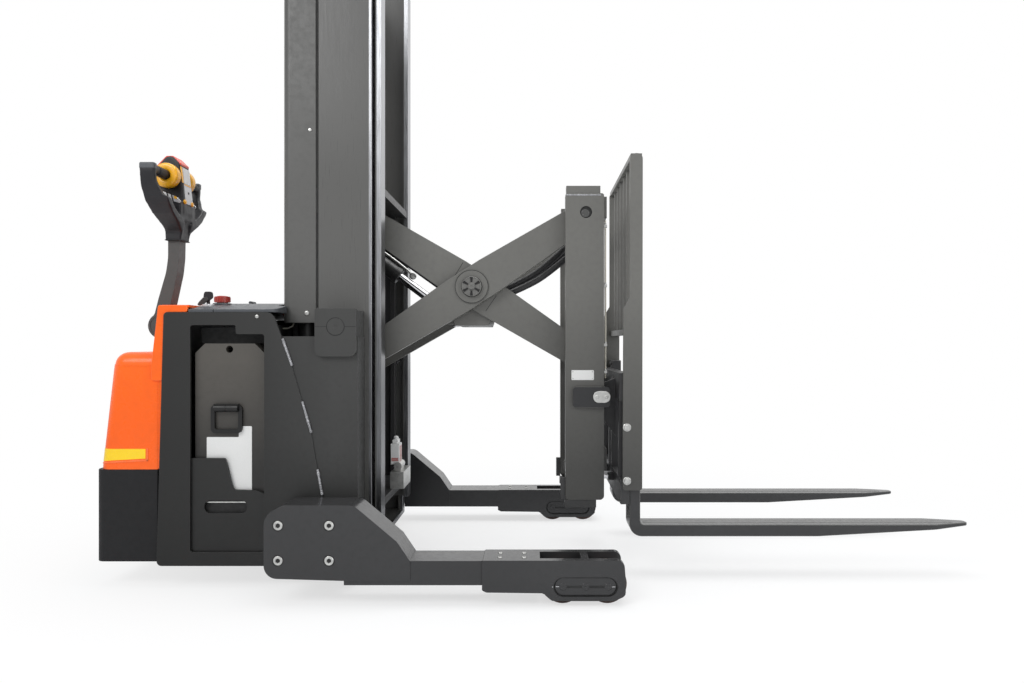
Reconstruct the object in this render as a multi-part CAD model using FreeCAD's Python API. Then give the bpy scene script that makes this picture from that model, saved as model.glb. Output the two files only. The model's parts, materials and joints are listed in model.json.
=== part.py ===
import FreeCAD, Part
import math
import os
from FreeCAD import Vector

os.makedirs("parts", exist_ok=True)

# Walkie reach truck, millimetres, +Z up, +X towards the fork tips, floor at z = 0.
# Stations along x are measured from the datum of the machine and the whole truck
# is moved by CENTRE_X when a piece is written, so that its box is centred.
CENTRE_X = -26.0
GROUND = 0.0

# Clearances
RUN_GAP = 5.0
PIN_GAP = 0.4
SEAT = 0.3

# Chassis
CHASSIS_Y = 450.0
SIDE_T = 10.0
CHASSIS_Z0 = 68.0
CHASSIS_Z1 = 853.0
CHASSIS_REAR_BOTTOM_X = -1158.0
CHASSIS_REAR_TOP_X = -1136.0
CHASSIS_TOP_FRONT_X = -800.0
CHASSIS_FRONT_X = -637.0
WINDOW_X0 = -1054.0
WINDOW_X1 = -825.0
WINDOW_Z0 = 111.0
WINDOW_Z1 = 813.0
WINDOW_STEP_X = -913.0
WINDOW_STEP_Z = 785.0
FLOOR_T = 12.0

# Plates that carry the mast
SUPPORT_Y = 446.0
SUPPORT_T = 14.0
SUPPORT_X0 = -770.0
SUPPORT_X1 = -536.0
SUPPORT_Z1 = 778.0

# Mast
OUTER_Y = 340.0
OUTER_X0 = -687.0
OUTER_X1 = -514.0
OUTER_WEB = 14.0
OUTER_FLANGE = 20.0
OUTER_TIP_Y = 296.0
OUTER_Z0 = 72.0
OUTER_Z1 = 2100.0
MAST_COVER_X = -803.0
MAST_COVER_Y = 270.0
INNER_X0 = -655.0
INNER_X1 = -487.0
INNER_WEB_Y0 = 276.0
INNER_WEB_Y1 = 288.0
INNER_TIP_IN_Y = 250.0
INNER_TIP_OUT_Y = 320.0
INNER_FLANGE = 20.0
INNER_Z0 = 150.0
INNER_Z1 = 2140.0

# Pantograph
PIVOT_REAR_X = -586.0
PIVOT_FRONT_X = 184.0
PIVOT_TOP_Z = 1195.0
PIVOT_MID_Z = 949.0
ARM_OUT_Y0 = 181.0
ARM_OUT_Y1 = 205.0
ARM_IN_Y0 = 151.0
ARM_IN_Y1 = 175.0
ARM_MID_HALF = 63.0
ARM_END_R = 44.0
PIN_R = 20.0
FOLLOWER_R = 29.0

# Lift carriage
CARR_WEB_Y0 = 232.0
CARR_WEB_Y1 = 242.0
CARR_CHANNEL_Y0 = 215.0
CARR_X0 = -640.0
CARR_X1 = -532.0
CARR_Z0 = 215.0
CARR_Z1 = 1275.0

# Reach frame
FRAME_Y = 250.0
FRAME_WEB = 12.0
FRAME_TIP_Y = 215.0
FRAME_X0 = 115.0
FRAME_X1 = 244.0
FRAME_Z0 = 234.0
FRAME_Z1 = 1258.0
TILT_X = 229.0
TILT_Z = 578.0
TILT_PIN_R = 12.0
TILT_BASE_X = 140.0
TILT_CYL_Z = 290.0
TILT_CYL_Y = 100.0
TILT_EYE_X = 278.0

# Forks
FORK_Y1 = 330.0
FORK_W = 100.0
FORK_T = 38.0
FORK_TIP_X = 1434.0
SHANK_X0 = 319.0
BLADE_TOP_Z = 169.0
BLADE_TAPER_X = 931.0
SHANK_TOP_Z = 690.0
REST_Y = 347.0

# Legs
LEG_Y0 = 501.0
LEG_Y1 = 625.0
LEG_WHEEL_R = 57.0
LEG_AXLE_X = (92.0, 222.0)
BOGIE_X = 157.0
LEG_AXLE_Z = 57.0

# Rear of the machine
STOP_X = -1030.0
STOP_Y = -250.0
KEY_X = -1045.0
KEY_Y = -330.0
LID_X = -983.0
LID_PIN_Z = 899.0
SKIRT_Y = 440.0
REAR_X = -1352.0
COVER_X = -1345.0
COVER_LEAN = 0.113
COVER_R = 40.0
STEER_X = -1222.0
DRIVE_R = 112.0
TILLER_X = -1337.0
TILLER_Z = 820.0
TILLER_R = 45.0
KNOB_X = -1298.0
KNOB_Z = 1355.0
GRIP_R = 16.0


def box(x0, x1, y0, y1, z0, z1):
    return Part.makeBox(x1 - x0, y1 - y0, z1 - z0, Vector(x0, y0, z0))


def rod_between(p, q, r):
    a = Vector(*p)
    b = Vector(*q)
    return Part.makeCylinder(r, (b - a).Length, a, b - a)


def cyl_y(x, z, r, y0, y1):
    return Part.makeCylinder(r, y1 - y0, Vector(x, y0, z), Vector(0, 1, 0))


def cyl_z(x, y, r, z0, z1):
    return Part.makeCylinder(r, z1 - z0, Vector(x, y, z0), Vector(0, 0, 1))


def cyl_x(y, z, r, x0, x1):
    return Part.makeCylinder(r, x1 - x0, Vector(x0, y, z), Vector(1, 0, 0))


def rounded_loop(points):
    # Closed outline in two numbers (u, v) with an arc of radius r at each corner.
    count = len(points)
    cuts = []
    for i in range(count):
        p = Vector(points[i][0], points[i][1], 0)
        a = Vector(points[i - 1][0], points[i - 1][1], 0) - p
        b = Vector(points[(i + 1) % count][0], points[(i + 1) % count][1], 0) - p
        r = points[i][2] if len(points[i]) > 2 else 0.0
        a.normalize()
        b.normalize()
        half = a.getAngle(b) / 2.0
        if r <= 0.0 or abs(half - math.pi / 2) < 0.001:
            cuts.append((p, None, p))
            continue
        run = r / math.tan(half)
        middle = (a + b)
        middle.normalize()
        centre = p + middle * (r / math.sin(half))
        cuts.append((p + a * run, centre - middle * r, p + b * run))
    edges = []
    for i in range(count):
        start, arc_mid, end = cuts[i]
        if arc_mid is not None:
            edges.append(Part.Arc(start, arc_mid, end).toShape())
        following = cuts[(i + 1) % count][0]
        if (following - end).Length > 0.001:
            edges.append(Part.makeLine(end, following))
    return Part.Wire(edges)


def plate_xz(points, y0, y1):
    # Outline in x and z, thickness from y0 to y1.
    face = Part.Face(rounded_loop(points))
    solid = face.extrude(Vector(0, 0, y1 - y0))
    solid.rotate(Vector(0, 0, 0), Vector(1, 0, 0), 90)
    solid.translate(Vector(0, y1, 0))
    return solid


def plate_xy(points, z0, z1):
    face = Part.Face(rounded_loop(points))
    solid = face.extrude(Vector(0, 0, z1 - z0))
    solid.translate(Vector(0, 0, z0))
    return solid


def plate_yz(points, x0, x1):
    # Outline in y and z, thickness from x0 to x1.
    face = Part.Face(rounded_loop(points))
    solid = face.extrude(Vector(0, 0, x1 - x0))
    solid.rotate(Vector(0, 0, 0), Vector(1, 1, 1), 120)
    solid.translate(Vector(x0, 0, 0))
    return solid


def fuse(shapes):
    out = shapes[0]
    if len(shapes) > 1:
        out = shapes[0].multiFuse(shapes[1:])
    return out.removeSplitter()


def cut(shape, tools):
    return shape.cut(tools)


def mirrored(shape):
    return shape.mirror(Vector(0, 0, 0), Vector(0, 1, 0))


def both(shape):
    return [shape, mirrored(shape)]


def turned(shape, x, z, degrees):
    # Turn about an axis along y through (x, z).
    out = shape.copy()
    out.rotate(Vector(x, 0, z), Vector(0, 1, 0), degrees)
    return out


def save(name, shapes):
    if not isinstance(shapes, list):
        shapes = [shapes]
    solids = []
    for shape in shapes:
        solids += shape.Solids
    whole = solids[0] if len(solids) == 1 else Part.makeCompound(solids)
    whole = whole.copy()
    whole.translate(Vector(CENTRE_X, 0, GROUND))
    whole.exportStep("parts/" + name + ".step")
    box_now = whole.BoundBox
    print(name, len(solids), "solids", [round(v, 1) for v in (
        box_now.XMin, box_now.XMax, box_now.YMin, box_now.YMax, box_now.ZMin, box_now.ZMax)])


# Chassis frame
def chassis_frame():
    y1 = CHASSIS_Y
    y0 = y1 - SIDE_T
    side = plate_xz([
        (CHASSIS_REAR_BOTTOM_X, CHASSIS_Z0, 15),
        (CHASSIS_REAR_TOP_X, CHASSIS_Z1, 12),
        (CHASSIS_TOP_FRONT_X, CHASSIS_Z1, 30),
        (-739, 685, 0),
        (-680, 479, 0),
        (-647, 288, 0),
        (CHASSIS_FRONT_X, 240, 0),
        (CHASSIS_FRONT_X, CHASSIS_Z0, 15)], y0, y1)
    window = plate_xz([
        (WINDOW_X0, WINDOW_Z0, 8), (WINDOW_X0, WINDOW_Z1, 8),
        (WINDOW_STEP_X, WINDOW_Z1, 6), (WINDOW_STEP_X, WINDOW_STEP_Z, 6),
        (WINDOW_X1, WINDOW_STEP_Z, 8), (WINDOW_X1, WINDOW_Z0, 8)], y0 - 5, y1 + 5)
    side = side.cut(window)
    support = plate_xz([
        (SUPPORT_X0, SUPPORT_Z1, 0), (SUPPORT_X1, SUPPORT_Z1, 0),
        (SUPPORT_X1, CHASSIS_Z0 + 4, 0), (SUPPORT_X0 + 60, CHASSIS_Z0 + 4, 0),
        (SUPPORT_X0, 240, 0)], SUPPORT_Y - SUPPORT_T, SUPPORT_Y)
    webs = [box(SUPPORT_X1 - 12, SUPPORT_X1, OUTER_Y + SEAT, SUPPORT_Y - 5, 72, SUPPORT_Z1),
            box(-700, -688, OUTER_Y + SEAT, SUPPORT_Y - 5, 72, SUPPORT_Z1)]
    leg_pad = box(-745, -545, y1 - 12, LEG_Y0 - SEAT, 96, 262)
    clamp = plate_xz([
        (-666, 864, 4), (-538, 864, 4), (-538, 716, 22), (-666, 716, 22)],
        SUPPORT_Y, SUPPORT_Y + 16)
    clamp_box = box(-664, -540, OUTER_Y + SEAT, SUPPORT_Y + 2, SUPPORT_Z1 - 8, 860)
    side_all = fuse([side, support] + webs + [leg_pad, clamp, clamp_box])
    floor = box(-1134, -688.3, -y0 - 2, y0 + 2, 70, 70 + FLOOR_T)
    rear = box(-1134, -1122, -y0 - 2, y0 + 2, 76, 838)
    front = box(-822, -812, -y0 - 2, y0 + 2, 76, 770)
    foot = box(-700, SUPPORT_X1, -y0 + 2, y0 - 2, 60, 71.7)
    deck = rear_plan(6, 352, 364).cut([cyl_z(STEER_X, 0, 76, 300, 400),
                                       box(-1150, -1000, -600, 600, 340, 380)])
    deck2 = box(-1152, -1122, -y0 - 2, y0 + 2, 352, 364).cut(cyl_z(STEER_X, 0, 76, 300, 400))
    whole = fuse([side_all, mirrored(side_all), floor, rear, front, foot, deck, deck2])
    return whole.cut(cyl_z(STEER_X, 0, 132, 0, 351))


def battery_case():
    top = 756.0
    body = plate_xz([(-1048, 82.3, 0), (-1048, top - 30, 0), (-1018, top, 0),
                     (-862, top, 0), (-832, top - 30, 0), (-832, 82.3, 0)], -425, 425)
    return body.cut(cyl_y(-941, top - 18, 11, -430, 430))


def window_covers():
    cover = plate_xz([
        (-1066, 98, 0), (-1066, 400, 0), (-949, 400, 8), (-924, 302, 12),
        (-852, 300, 20), (-823, 288, 0), (-823, 98, 0)], 431, 440)
    slot = plate_xz([(-1014, 229, 19), (-1014, 269, 19), (-881, 269, 19), (-881, 229, 19)],
                    425, 445)
    return both(cover.cut(slot))


def battery_pulls():
    ring = plate_xz([(-996, 477, 14), (-996, 565, 14), (-899, 565, 14), (-899, 477, 14)],
                    425, 435)
    hole = plate_xz([(-984, 489, 8), (-984, 553, 8), (-911, 553, 8), (-911, 489, 8)],
                    420, 440)
    tab = box(-986, -909, 425, 438, 543, 568)
    return both(fuse([ring.cut(hole), tab]))


def pump_block():
    return fuse([box(-800, -715, -205, 205, 82.3, 420), box(-795, -720, -160, 120, 410, 600),
                 box(-808, -713, -200, 200, 590, 850)])


# Rear shell
def rear_plan(inset, z0, z1):
    return plate_xy([
        (REAR_X + inset, -SKIRT_Y + inset, 26 - inset * 0.5),
        (REAR_X + inset, SKIRT_Y - inset, 26 - inset * 0.5),
        (-1150 + inset * 3, SKIRT_Y - inset, 0),
        (-1150 + inset * 3, -SKIRT_Y + inset, 0)], z0, z1)


def rear_skirt():
    outer = rear_plan(0, 79, 365)
    inner = rear_plan(6, 70, 375)
    front_trim = box(-1158.5, -1000, -600, 600, 0, 900)
    return outer.cut([inner, front_trim])


def crown_profile(inset, x0, x1):
    # Cylinder of large radius across the machine, wider than the cover.
    rise = 41.0
    half = SKIRT_Y
    radius = (half * half + rise * rise) / (2 * rise)
    centre_z = 727.0 - radius
    wide = half + 30
    drop_z = centre_z + math.sqrt(radius * radius - wide * wide)
    b = Vector(x0, -wide, drop_z - inset)
    m = Vector(x0, 0, 727.0 - inset)
    c = Vector(x0, wide, drop_z - inset)
    a = Vector(x0, -wide, 250)
    d = Vector(x0, wide, 250)
    wire = Part.Wire([Part.makeLine(a, b), Part.Arc(b, m, c).toShape(),
                      Part.makeLine(c, d), Part.makeLine(d, a)])
    return Part.Face(wire).extrude(Vector(x1 - x0, 0, 0))


def cover_back(z):
    return COVER_X + (z - 361.0) * COVER_LEAN


def leaning_block(inset, z0, z1):
    x = cover_back(z0) + inset
    half = SKIRT_Y - inset
    rise = z1 - z0
    base = plate_xy([(x, -half, 0), (x, half, 0), (-1080, half, 0), (-1080, -half, 0)], z0, z0 + 1)
    foot = [f for f in base.Faces if abs(f.CenterOfMass.z - z0) < 1e-6][0]
    block = foot.extrude(Vector(rise * COVER_LEAN, 0, rise))
    corners = [e for e in block.Edges
               if abs(e.Vertexes[0].Z - e.Vertexes[1].Z) > rise - 1 and e.BoundBox.XMin < -1100]
    return block.makeFillet(COVER_R - inset, corners)


def lean_profile(inset, y0, y1):
    out = inset - 0.2
    return plate_xz([
        (cover_back(300) + out, 300, 0), (cover_back(733) + out, 733 - inset, 36 - inset),
        (-1050, 733 - inset, 0), (-1050, 300, 0)], y0, y1)


def rear_cover():
    shell = leaning_block(0, 365.3, 760).common(crown_profile(0, -1500, -1000))
    shell = shell.common(lean_profile(0, -600, 600))
    void = leaning_block(6, 300, 760).common(crown_profile(6, -1500, -1000))
    void = void.common(lean_profile(6, -600, 600))
    neck_hole = cyl_z(STEER_X, 0, 56, 600, 800)
    shell = shell.cut([void, neck_hole, box(-1158.5, -1000, -600, 600, 0, 900)])
    panel = plate_xz([(-1164, 640, 0), (-1164, 690, 0), (-1145, 868, 10), (-1062, 868, 0),
                      (-1062, 876, 0), (-1156, 876, 14), (-1177, 690, 0), (-1177, 640, 0)],
                     -438, 438)
    return fuse([shell, panel])


def crown_slab(x0, x1):
    a = Vector(x0, -447, 853.3)
    b = Vector(x0, -447, 862)
    m = Vector(x0, 0, 898)
    c = Vector(x0, 447, 862)
    d = Vector(x0, 447, 853.3)
    wire = Part.Wire([Part.makeLine(a, b), Part.Arc(b, m, c).toShape(),
                      Part.makeLine(c, d), Part.makeLine(d, a)])
    return Part.Face(wire).extrude(Vector(x1 - x0, 0, 0))


def top_hood():
    x0 = LID_X
    x1 = -786.0
    slab = crown_slab(x0, x1)
    plan = plate_xy([(x0, -447, 0), (x0, 447, 0), (x1, 447, 40), (x1, -447, 40)], 800, 950)
    notch = box(MAST_COVER_X - 14, -700, MAST_COVER_Y - 6, OUTER_Y + 6, 800, 950)
    lid = slab.common(plan).cut([notch, mirrored(notch)])
    return fuse([lid] + both(cyl_y(LID_X, LID_PIN_Z, 5, 70, 120)))


def dash_panel():
    # Fixed strip in front of the lid, bored for the key switch and the stop.
    slab = crown_slab(-1061, LID_X - 2)
    knuckles = both(cyl_y(LID_X, LID_PIN_Z, 5.6, 68, 122))
    return slab.cut([cyl_z(STOP_X, STOP_Y, 18.3, 800, 950),
                     cyl_z(KEY_X, KEY_Y, 14.3, 800, 950)] + knuckles)


def key_switch():
    fob = plate_xz([(KEY_X - 15, 905, 8), (KEY_X - 12, 924, 8), (KEY_X + 13, 924, 8),
                    (KEY_X + 15, 905, 8), (KEY_X + 5, 896, 0), (KEY_X - 5, 896, 0)],
                   KEY_Y - 4, KEY_Y + 4)
    blade = box(KEY_X - 5, KEY_X + 5, KEY_Y - 2, KEY_Y + 2, 880, 900)
    return fuse([cyl_z(KEY_X, KEY_Y, 14, 856, 884), blade, fob])


def emergency_stop():
    return fuse([cyl_z(STOP_X, STOP_Y, 18, 856, 896), cyl_z(STOP_X, STOP_Y, 25, 893, 912)])


# Legs
def leg_right():
    # Built on the +y side.
    y0 = LEG_Y0
    y1 = LEG_Y1
    bracket = plate_xz([
        (-769, 80, 38), (-769, 262, 50), (-713, 290, 16), (-510, 290, 40),
        (-386, 186, 20), (-348, 130, 8), (-348, 72, 0), (-500, 72, 10)], y0, y1)
    beam = box(-539, -135, y0 + 3, y1 - 3, 60, 130)
    head = plate_xz([
        (-141, 132, 6), (-141, 46, 4), (-128, 40, 4), (32, 38, 0), (66, 22, 10),
        (240, 22, 40), (274, 60, 30), (268, 132, 20)], y0 - 1.5, y1 + 1.5)
    well = box(26, 290, y0 + 24, y1 - 24, -10, 140)
    web = box(146, 168, y0 + 20, y1 - 20, 104, 131)
    obround = plate_xz([(60, 20, 33), (60, 92, 33), (254, 92, 33), (254, 20, 33)],
                       y0 - 10, y1 + 10)
    pads = [cyl_y(x, z, 17, y1 - 6, y1 + 10) for x in (-728, -581) for z in (131, 232)]
    bolts = [cyl_y(x, z, 13.5, y1 - 8, y1 - 0.5) for x in (-728, -581) for z in (131, 232)]
    whole = fuse([bracket, beam, head]).cut([well, obround] + pads)
    bridge = box(-30, 26, y0, y1, 40, 131)
    strap = box(153.5, 160.5, y0 + 27, y1 - 27, 64, 108)
    return fuse([whole, web, bridge, strap] + bolts)


def bogies():
    out = []
    for y0, y1 in ((LEG_Y0 + 2, LEG_Y0 + 22), (LEG_Y1 - 22, LEG_Y1 - 2)):
        plate = plate_xz([(69, 32, 24), (69, 82, 24), (245, 82, 24), (245, 32, 24)], y0, y1)
        out.append(plate)
    pins = [cyl_y(BOGIE_X, LEG_AXLE_Z, 7, LEG_Y0 + 4, LEG_Y1 - 4)]
    pins += [cyl_y(x, LEG_AXLE_Z, 11, LEG_Y0 + 4, LEG_Y1 - 4) for x in LEG_AXLE_X]
    return both(fuse(out + pins))


def load_wheel(x, sign):
    y0 = LEG_Y0 + 30
    y1 = LEG_Y1 - 30
    wheel = cyl_y(x, LEG_AXLE_Z, LEG_WHEEL_R, y0, y1)
    wheel = wheel.cut(cyl_y(x, LEG_AXLE_Z, 11 + PIN_GAP, y0 - 1, y1 + 1))
    return wheel if sign > 0 else mirrored(wheel)


# Mast
def channel_outer():
    web = box(OUTER_X0, OUTER_X1, OUTER_Y - OUTER_WEB, OUTER_Y, OUTER_Z0, OUTER_Z1)
    f1 = box(OUTER_X0, OUTER_X0 + OUTER_FLANGE, OUTER_TIP_Y, OUTER_Y, OUTER_Z0, OUTER_Z1)
    f2 = box(OUTER_X1 - OUTER_FLANGE, OUTER_X1, OUTER_TIP_Y, OUTER_Y, OUTER_Z0, OUTER_Z1)
    return fuse([web, f1, f2])


def mast_outer():
    rail = channel_outer()
    half = OUTER_Y - 4 - SEAT
    bars = [box(OUTER_X0 - 20, OUTER_X0, -half, half, z0, z1)
            for z0, z1 in ((330, 430), (1180, 1260), (1900, 2000))]
    base = box(OUTER_X0, OUTER_X1, -OUTER_Y, OUTER_Y, OUTER_Z0, OUTER_Z0 + 18)
    return fuse([rail, mirrored(rail), base] + bars)


def mast_side_covers():
    y1 = OUTER_Y
    x0 = MAST_COVER_X
    skin = plate_xy([(-694, y1, 0), (x0, y1, 26), (x0, MAST_COVER_Y, 0),
                     (x0 + 4, MAST_COVER_Y, 0), (x0 + 4, y1 - 4, 22), (-694, y1 - 4, 0)],
                    822, 1990)
    tabs = [box(-704, OUTER_X0 - SEAT, y1 - 14, y1 - 4, z0, z1)
            for z0, z1 in ((822, 1179.7), (1260.3, 1899.7))]
    return both(fuse([skin] + tabs))


def lift_barrels():
    out = []
    tube = cyl_z(-742, 250, 34, 82, 1560).cut(cyl_z(-742, 250, 22.5, 100, 1600))
    clip = [box(-742, OUTER_X0 - 20 - SEAT, 236, 264, z, z + 30) for z in (1210,)]
    clip = [c.cut(cyl_z(-742, 250, 30, 60, 1600)) for c in clip]
    out = fuse([tube] + clip)
    return both(out)


def mast_inner():
    def flange(x0):
        return box(x0, x0 + INNER_FLANGE, INNER_TIP_IN_Y, INNER_TIP_OUT_Y, INNER_Z0, INNER_Z1)
    web = box(INNER_X0, INNER_X1, INNER_WEB_Y0, INNER_WEB_Y1, INNER_Z0, INNER_Z1)
    rail = fuse([web, flange(INNER_X0), flange(INNER_X1 - INNER_FLANGE)])
    bars = [box(INNER_X0 - 6, INNER_X0 + 10, -INNER_WEB_Y0 - 2, INNER_WEB_Y0 + 2, z0, z1)
            for z0, z1 in ((INNER_Z0, INNER_Z0 + 95), (2045, INNER_Z1))]
    horns = both(box(-772, INNER_X0, 222, 280, 2110, INNER_Z1))
    lug = box(-712, INNER_X0, 48, 56, 2080, INNER_Z1 - 4)
    sheave_lugs = both(lug.cut(cyl_y(-698, 2100, 9, 40, 60)))
    return fuse([rail, mirrored(rail)] + bars + horns + sheave_lugs)


def lift_rods():
    return both(cyl_z(-742, 250, 22, 190, 2109.7))


def chain_sheaves():
    wheel = cyl_y(-698, 2100, 25, 57, 83)
    rims = [cyl_y(-698, 2100, 34, 57, 60), cyl_y(-698, 2100, 34, 80, 83)]
    pin = cyl_y(-698, 2100, 9, 50, 84)
    return both(fuse([wheel] + rims + [pin]))


def lift_chains():
    out = []
    front = box(-672.5, -663.5, 62, 78, 640, 2100)
    rear = box(-732.5, -723.5, 62, 78, 1000, 2100)
    arc = cyl_y(-698, 2100, 34.5, 62, 78).cut([cyl_y(-698, 2100, 25.5, 60, 80),
                                              box(-760, -640, 50, 90, 2000, 2100)])
    return both(fuse([front, rear, arc]))


# Lift carriage
def lift_carriage():
    web = box(CARR_X0, CARR_X1, CARR_WEB_Y0, CARR_WEB_Y1, CARR_Z0, CARR_Z1)
    f1 = box(CARR_X0, -622, CARR_CHANNEL_Y0, CARR_WEB_Y1, CARR_Z0, CARR_Z1)
    f2 = box(-550, CARR_X1, CARR_CHANNEL_Y0, CARR_WEB_Y1, CARR_Z0, CARR_Z1)
    side = fuse([web, f1, f2])
    pin = cyl_y(PIVOT_REAR_X, PIVOT_TOP_Z, PIN_R, 146, CARR_WEB_Y0 + 2)
    pin_head = cyl_y(PIVOT_REAR_X, PIVOT_TOP_Z, 30, 176.5, CARR_WEB_Y0 + 2)
    bars = [box(CARR_X0, -490, -CARR_WEB_Y1, CARR_WEB_Y1, 1250, CARR_Z1),
            box(CARR_X0, -490, -CARR_WEB_Y1, CARR_WEB_Y1, CARR_Z0, 240)]
    chain_lugs = []
    for x0, y0, y1 in ((-660, 56, 84), (-676, 56, 60), (-676, 80, 84)):
        chain_lugs += both(box(x0, CARR_X0 + 2, y0, y1, 600, 639.5))
    spine = box(CARR_X0, CARR_X0 + 4.8, -CARR_CHANNEL_Y0 - 5, CARR_CHANNEL_Y0 + 5, 590, 680)
    cyl_bar = box(CARR_X0, -632, -CARR_CHANNEL_Y0 - 5, CARR_CHANNEL_Y0 + 5, 1040, 1130)
    ears = both(box(-634, -580, 30, 42, 1064, 1110))
    base_pin = cyl_y(BARREL_A[0], BARREL_A[2], 12, -40, 40)
    return fuse([side, mirrored(side), pin, mirrored(pin), pin_head, mirrored(pin_head)]
                + bars + chain_lugs + [spine, cyl_bar, base_pin] + ears)


def carriage_rollers():
    out = []
    for z in (290, 720):
        wheel = cyl_y(-571, z, 60, 252, 273)
        axle = cyl_y(-571, z, 16, CARR_WEB_Y1, 254)
        out += both(fuse([wheel, axle]))
    return out


def valve_block():
    return fuse([box(-500, -452, -80, 80, 240, 300), cyl_y(-476, 318, 14, -60, 20),
                 box(-490, -466, -50, 10, 298, 320)])


# Pantograph arms
def arm_blank(x0, z0, x1, z1, y0, y1):
    # Plate tapering from the centre to round ends, its axis from (x0, z0) to (x1, z1).
    length = math.hypot(x1 - x0, z1 - z0)
    half = length / 2
    h = ARM_MID_HALF
    e = ARM_END_R
    body = plate_xz([(-half, -e, 0), (-70, -h, 40), (70, -h, 40), (half, -e, 0),
                     (half, e, 0), (70, h, 40), (-70, h, 40), (-half, e, 0)], y0, y1)
    ends = [cyl_y(-half, 0, e, y0, y1), cyl_y(half, 0, e, y0, y1)]
    plate = fuse([body] + ends)
    angle = math.degrees(math.atan2(z1 - z0, x1 - x0))
    plate.rotate(Vector(0, 0, 0), Vector(0, 1, 0), -angle)
    plate.translate(Vector((x0 + x1) / 2, 0, (z0 + z1) / 2))
    return plate


PIVOT_LOW_Z = 2 * PIVOT_MID_Z - PIVOT_TOP_Z
PIVOT_MID_X = (PIVOT_REAR_X + PIVOT_FRONT_X) / 2


def arm_inner():
    plate = arm_blank(PIVOT_REAR_X, PIVOT_TOP_Z, PIVOT_FRONT_X, PIVOT_LOW_Z,
                      ARM_IN_Y0, ARM_IN_Y1)
    plate = plate.cut(cyl_y(PIVOT_REAR_X, PIVOT_TOP_Z, PIN_R + PIN_GAP, 100, 300))
    hub_pin = cyl_y(PIVOT_MID_X, PIVOT_MID_Z, 26, ARM_IN_Y0 + 4, ARM_OUT_Y1 + 4)
    axle = cyl_y(PIVOT_FRONT_X, PIVOT_LOW_Z, 16, ARM_IN_Y0 + 4, 216)
    roller = cyl_y(PIVOT_FRONT_X, PIVOT_LOW_Z, FOLLOWER_R, 211, 232)
    side = fuse([plate, hub_pin, axle, roller])
    bridge = plate_xz([(-292, 905, 8), (-262, 818, 8), (-146, 818, 8), (-120, 905, 8)],
                      -ARM_IN_Y0 - 6, ARM_IN_Y0 + 6)
    bridge = bridge.cut(plate_xz([(-275, 912, 4), (-256, 830, 4), (-152, 830, 4),
                                  (-134, 912, 4)], -ARM_IN_Y0 + 8, ARM_IN_Y0 - 8))
    bridge = bridge.cut(box(-330, -226, -23.7, 23.7, 795, 925))
    ears = [box(-300, -262, y, y + 12, 824, 872) for y in (-36, 24)]
    rod_pin = cyl_y(-272, 846, 12, -38, 38)
    return fuse([side, mirrored(side), bridge, rod_pin] + ears)


def arm_outer():
    plate = arm_blank(PIVOT_REAR_X, PIVOT_LOW_Z, PIVOT_FRONT_X, PIVOT_TOP_Z,
                      ARM_OUT_Y0, ARM_OUT_Y1)
    plate = plate.cut(cyl_y(PIVOT_MID_X, PIVOT_MID_Z, 26 + PIN_GAP, 100, 300))
    plate = plate.cut(cyl_y(PIVOT_FRONT_X, PIVOT_TOP_Z, PIN_R + PIN_GAP, 100, 300))
    axle = cyl_y(PIVOT_REAR_X, PIVOT_LOW_Z, 16, ARM_OUT_Y0 + 4, 213)
    roller = cyl_y(PIVOT_REAR_X, PIVOT_LOW_Z, FOLLOWER_R, 211, 227)
    return both(fuse([plate, axle, roller]))


def pivot_hubs():
    disc = cyl_y(PIVOT_MID_X, PIVOT_MID_Z, 56, ARM_OUT_Y1 + SEAT, ARM_OUT_Y1 + 5)
    disc = disc.cut(cyl_y(PIVOT_MID_X, PIVOT_MID_Z, 26.0, 100, 300))
    nut = cyl_y(PIVOT_MID_X, PIVOT_MID_Z, 34, ARM_OUT_Y1 + 5, ARM_OUT_Y1 + 16)
    bolt = cyl_y(PIVOT_MID_X, PIVOT_MID_Z, 11, ARM_OUT_Y1 + 14, ARM_OUT_Y1 + 23)
    return both(fuse([disc, nut, bolt]))


BARREL_A = (-596.0, 0.0, 1087.0)
BARREL_B = (-272.0, 0.0, 846.0)
# The rod's eye is bored wide, because it floats round its pin in mid stroke.
EYE_BORE = 19.6


def along(t):
    return tuple(BARREL_A[i] + (BARREL_B[i] - BARREL_A[i]) * t for i in range(3))


def reach_barrel():
    length = math.dist(BARREL_A, BARREL_B)
    tube = rod_between(along(16 / length), along(146 / length), 28)
    tube = tube.cut(rod_between(along(50 / length), along(300 / length), 17))
    eye = cyl_y(BARREL_A[0], BARREL_A[2], 22, -24, 24)
    return fuse([tube, eye]).cut(cyl_y(BARREL_A[0], BARREL_A[2], 12 + PIN_GAP, -60, 60))


def reach_rod():
    length = math.dist(BARREL_A, BARREL_B)
    shaft = rod_between(along(100 / length), along(1.0), 16)
    eye = cyl_y(BARREL_B[0], BARREL_B[2], EYE_BORE + 10, -22, 22)
    return fuse([shaft, eye]).cut(cyl_y(BARREL_B[0], BARREL_B[2], EYE_BORE, -60, 60))


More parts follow.
